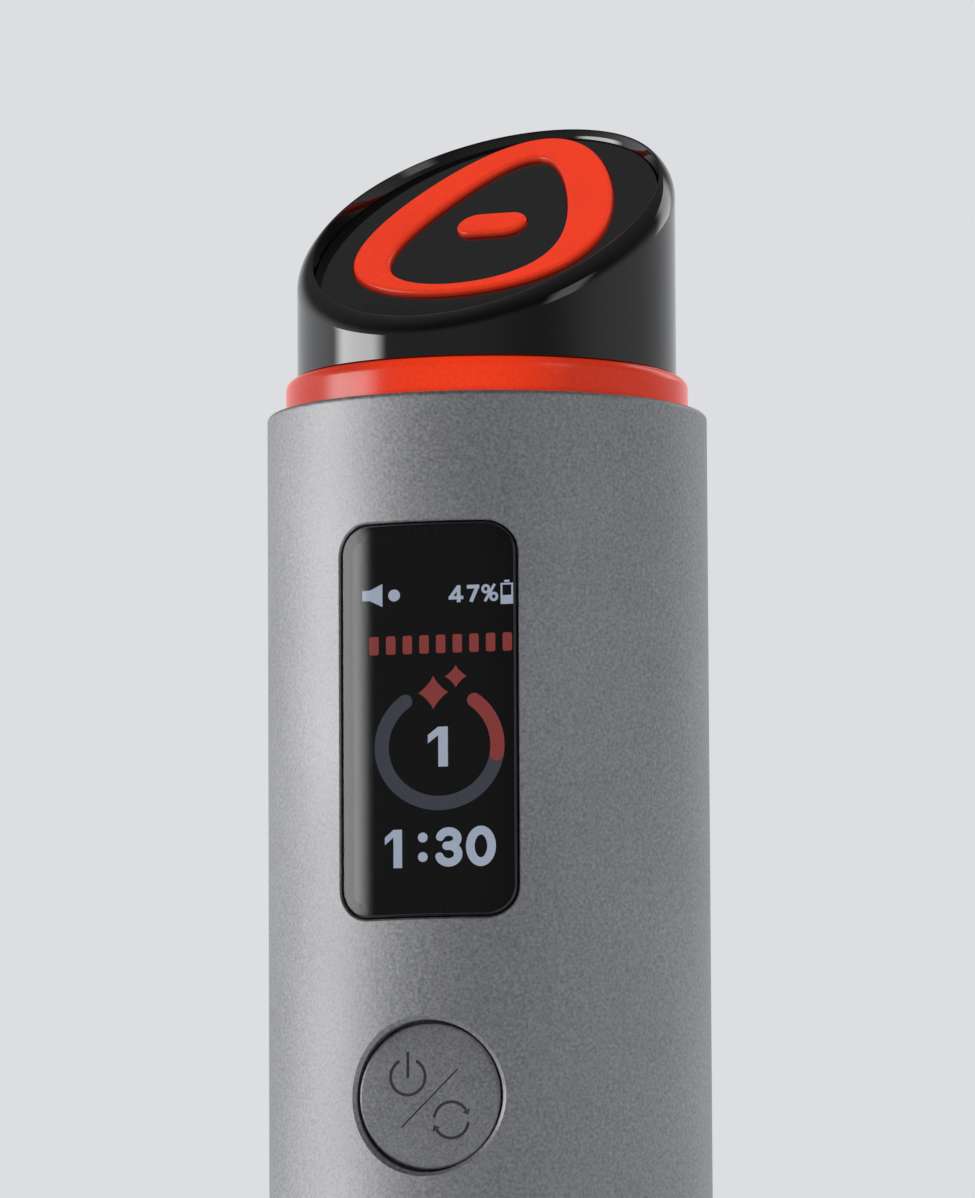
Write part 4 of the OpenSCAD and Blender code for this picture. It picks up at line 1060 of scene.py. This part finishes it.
def makeTeardrop():
    tree, sockets = dropBandTree()
    bottom, flange = face["sink"] + face["panel"], face["flange"]
    band = runTree("teardropBand", tree, sockets, {
        "Bottom Depth": bottom, "Top Depth": face["sink"] - face["proud"], "Edge Round": face["round"],
        "Bore Radius": face["bandReach"], "Around": 361, "Across": 61, "Finish": finishes["litFace"]})
    foot = loftPiece("teardropFlange", [
        dropLoop("outer", flange, bottom), dropLoop("inner", -flange, bottom),
        dropLoop("inner", -flange, bottom + flange), dropLoop("outer", flange, bottom + flange)], closed=True)
    piece = joinPieces("teardropLight", [band, foot])
    smoothByAngle(piece, 35)
    dress(piece, "housing", "litFace", ["teardrop_light"])


makeTeardrop()
print("teardrop lit")


# lit neck ring and its lamps

def makeNeckRing():
    low, high, outer, inner = neck["skirt"], neck["top"], neck["outer"], neck["inner"]
    edge, crown, wall, channel = 0.05, 0.1, 0.5, low + 0.8
    profile = [(outer - wall, low), (outer - edge, low), (outer, low + edge), (outer, tube["rim"]),
               (outer, tube["rim"] + 1)]
    profile += roundedCorner(outer, high, neck["round"])
    profile += [(inner + crown, high), (inner, high - crown), (inner, low), (inner + wall, low),
                (inner + wall, channel), (outer - wall, channel)]
    piece = turnedPiece("neckLightRing", profile)
    smoothByAngle(piece)
    dress(piece, "housing", "litNeck", ["neck_light_ring"])


def lampTree():
    tree, given, sockets = newTree("lampRing", [
        ("Ring Radius", "Float", 13.725 * mm), ("Lamps", "Int", 12), ("Height", "Float", 121.15 * mm),
        ("Lamp Size", "Vector", (0.9 * mm, 1.6 * mm, 0.7 * mm)), ("Finish", "Material", None)])
    ring = addNode(tree, "GeometryNodeMeshCircle", {"Vertices": given["Lamps"], "Radius": given["Ring Radius"]})
    lamp = addNode(tree, "GeometryNodeMeshCube", {"Size": given["Lamp Size"]})
    # each lamp faces out from the ring's middle
    index = Wire(tree, tree.nodes.new("GeometryNodeInputIndex").outputs[0])
    spread = addNode(tree, "GeometryNodeInstanceOnPoints", {
        "Points": ring.outputs[0], "Instance": lamp.outputs[0],
        "Rotation": joinVector(tree, 0, 0, index * tau / given["Lamps"])})
    endTree(tree, given, lifted(tree, spread.outputs[0], given["Height"]))
    return tree, sockets


def makeNeckLamps():
    board = {"low": tube["rim"] - 2.4, "high": neck["skirt"], "lamps": 12, "lamp": (0.9, 1.6, 0.7)}
    low, high, inner, outer = board["low"], board["high"], neck["inner"], neck["outer"]
    ring = turnedPiece("neckLampBoard", [(inner, low), (outer, low), (outer, high), (inner, high)], steps=128)
    smoothByAngle(ring)
    dress(ring, "housing", "whiteBoard", ["neck_led_board"])
    tree, sockets = lampTree()
    lamps = runTree("neckLamps", tree, sockets, {
        "Ring Radius": (inner + outer) / 2 * mm, "Lamps": board["lamps"],
        "Lamp Size": [c * mm for c in board["lamp"]], "Height": (high + board["lamp"][2] / 2) * mm,
        "Finish": finishes["lampWhite"]})
    dress(lamps, "housing", "lampWhite")


makeNeckRing()
makeNeckLamps()
print("neck ring lit")


# screws, spread by geometry nodes

screw = {"Head Radius": 1.8 * mm, "Head Height": 1.0 * mm, "Shank Radius": 0.95 * mm}


def screwTree():
    tree, given, sockets = newTree("screwSet", [
        ("Places", "Geometry", None), *[(label, "Float", value) for label, value in screw.items()],
        ("Shank Length", "Float", 4 * mm), ("Tilt", "Vector", (0.0, 0.0, 0.0)), ("Finish", "Material", None)])
    headRadius, headHeight = given["Head Radius"], given["Head Height"]
    core, length = given["Shank Radius"], given["Shank Length"]

    def column(radius, depth, sides):
        return addNode(tree, "GeometryNodeMeshCylinder", {"Vertices": sides, "Radius": radius,
                                                          "Depth": depth}).outputs["Mesh"]
    head = lifted(tree, column(headRadius, headHeight, 32), headHeight * 0.5)
    cut = addNode(tree, "GeometryNodeMeshBoolean", {"Mesh 1": head}, operation="DIFFERENCE")
    for wide, long in ((0.32, 1.15), (1.15, 0.32)):
        slot = addNode(tree, "GeometryNodeMeshCube", {
            "Size": joinVector(tree, headRadius * wide, headRadius * long, headHeight)})
        tree.links.new(lifted(tree, slot.outputs["Mesh"], headHeight * 0.95), cut.inputs["Mesh 2"])
    shank = lifted(tree, column(core * 0.86, length, 24), length * -0.5)
    # the thread is a thin wire wound round the shank
    pitch, wire = 0.5 * mm, 0.11 * mm
    turns = addNode(tree, "GeometryNodeCurveSpiral", {
        "Resolution": 24, "Rotations": length / pitch - 1.0, "Start Radius": core * 0.87,
        "End Radius": core * 0.87, "Height": length - pitch})
    ridge = addNode(tree, "GeometryNodeCurvePrimitiveCircle", {"Resolution": 4, "Radius": wire})
    wind = addNode(tree, "GeometryNodeCurveToMesh", {"Curve": turns.outputs[0], "Profile Curve": ridge.outputs[0],
                                                     "Fill Caps": True})
    thread = lifted(tree, wind.outputs[0], length * -1.0 + 0.15 * mm)
    whole = tree.nodes.new("GeometryNodeJoinGeometry")
    for part in (cut.outputs["Mesh"], shank, thread):
        tree.links.new(part, whole.inputs[0])
    spread = addNode(tree, "GeometryNodeInstanceOnPoints", {
        "Points": given["Places"], "Instance": whole.outputs[0], "Rotation": given["Tilt"]})
    endTree(tree, given, spread.outputs[0])
    return tree, sockets


def makeScrews():
    rim = tube["rim"]

    def three(ring, turn, height):
        return [(ring * math.cos(a), ring * math.sin(a), height)
                for a in (math.radians(turn + k) for k in (0, 120, 240))]
    flip, sideways = (math.pi, 0.0, 0.0), (math.pi / 2, 0.0, 0.0)
    boardPlaces = [(x, -7.0927, z) for x in (-10.79, 10.79) for z in (20.6, 65.8, 111.0)]
    # name, node, where each head's underside rests, shank length and tilt
    sets = [
        ("baseScrews", "base_screws", three(11, 90, 2.3), 11.9, flip),
        ("neckScrews", "neck_screws", three(8.9, 30, rim - 6.4), 4.0, flip),
        ("headScrews", "head_screws", three(8.9, 90, rim - 3.4), 4.5, flip),
        ("chargeScrews", "charge_board_screws", [(0, 6.5, 9.0), (0, -6.5, 9.0)], 4.2, flip),
        ("boardScrews", "board_screws", boardPlaces, 3.2, sideways),
    ]
    tree, sockets = screwTree()
    for name, node, points, shank, tilt in sets:
        places = bpy.data.meshes.new(name)
        places.from_pydata([tuple(c * mm for c in p) for p in points], [], [])
        piece = runTree(name, tree, sockets, {**screw, "Shank Length": shank * mm, "Tilt": tilt,
                                              "Finish": finishes["machinedSteel"]}, places)
        smoothByAngle(piece, 30)
        dress(piece, "housing", "machinedSteel", [node])


makeScrews()
print("screws set")


# finishes of the other solids

cadFinishes = {
    "glass_gasket": "sealFoam", "display_panel": "screenBlack", "display_bezel": "mouldedBlack",
    "button_pad": "whiteSilicone", "switch_plunger": "plungerRed", "tact_switch": "chipBlack",
    "button_guide": "frameBlack", "inner_frame": "frameBlack", "main_board": "greenBoard",
    "board_chips": "chipBlack", "battery_cell": "cellWrap", "battery_foam": "sealFoam", "speaker": "chipBlack",
    "motor_can": "machinedSteel", "motor_boot": "footRubber", "motor_rotor": "machinedSteel",
    "base_cap": "mouldedBlack", "base_seal": "footRubber", "base_foot": "footRubber",
    "charge_port": "machinedSteel", "charge_board": "greenBoard", "neck_plate": "frameBlack",
    "neck_seal": "footRubber", "light_baffle": "whiteMoulding", "head_led_board": "greenBoard",
}
for name, finish in cadFinishes.items():
    data = nodes[name].data
    if not data.materials:
        data.materials.append(finishes[finish])
    for i in range(len(data.materials)):
        data.materials[i] = finishes[finish]
print("solids finished:", len(cadFinishes))
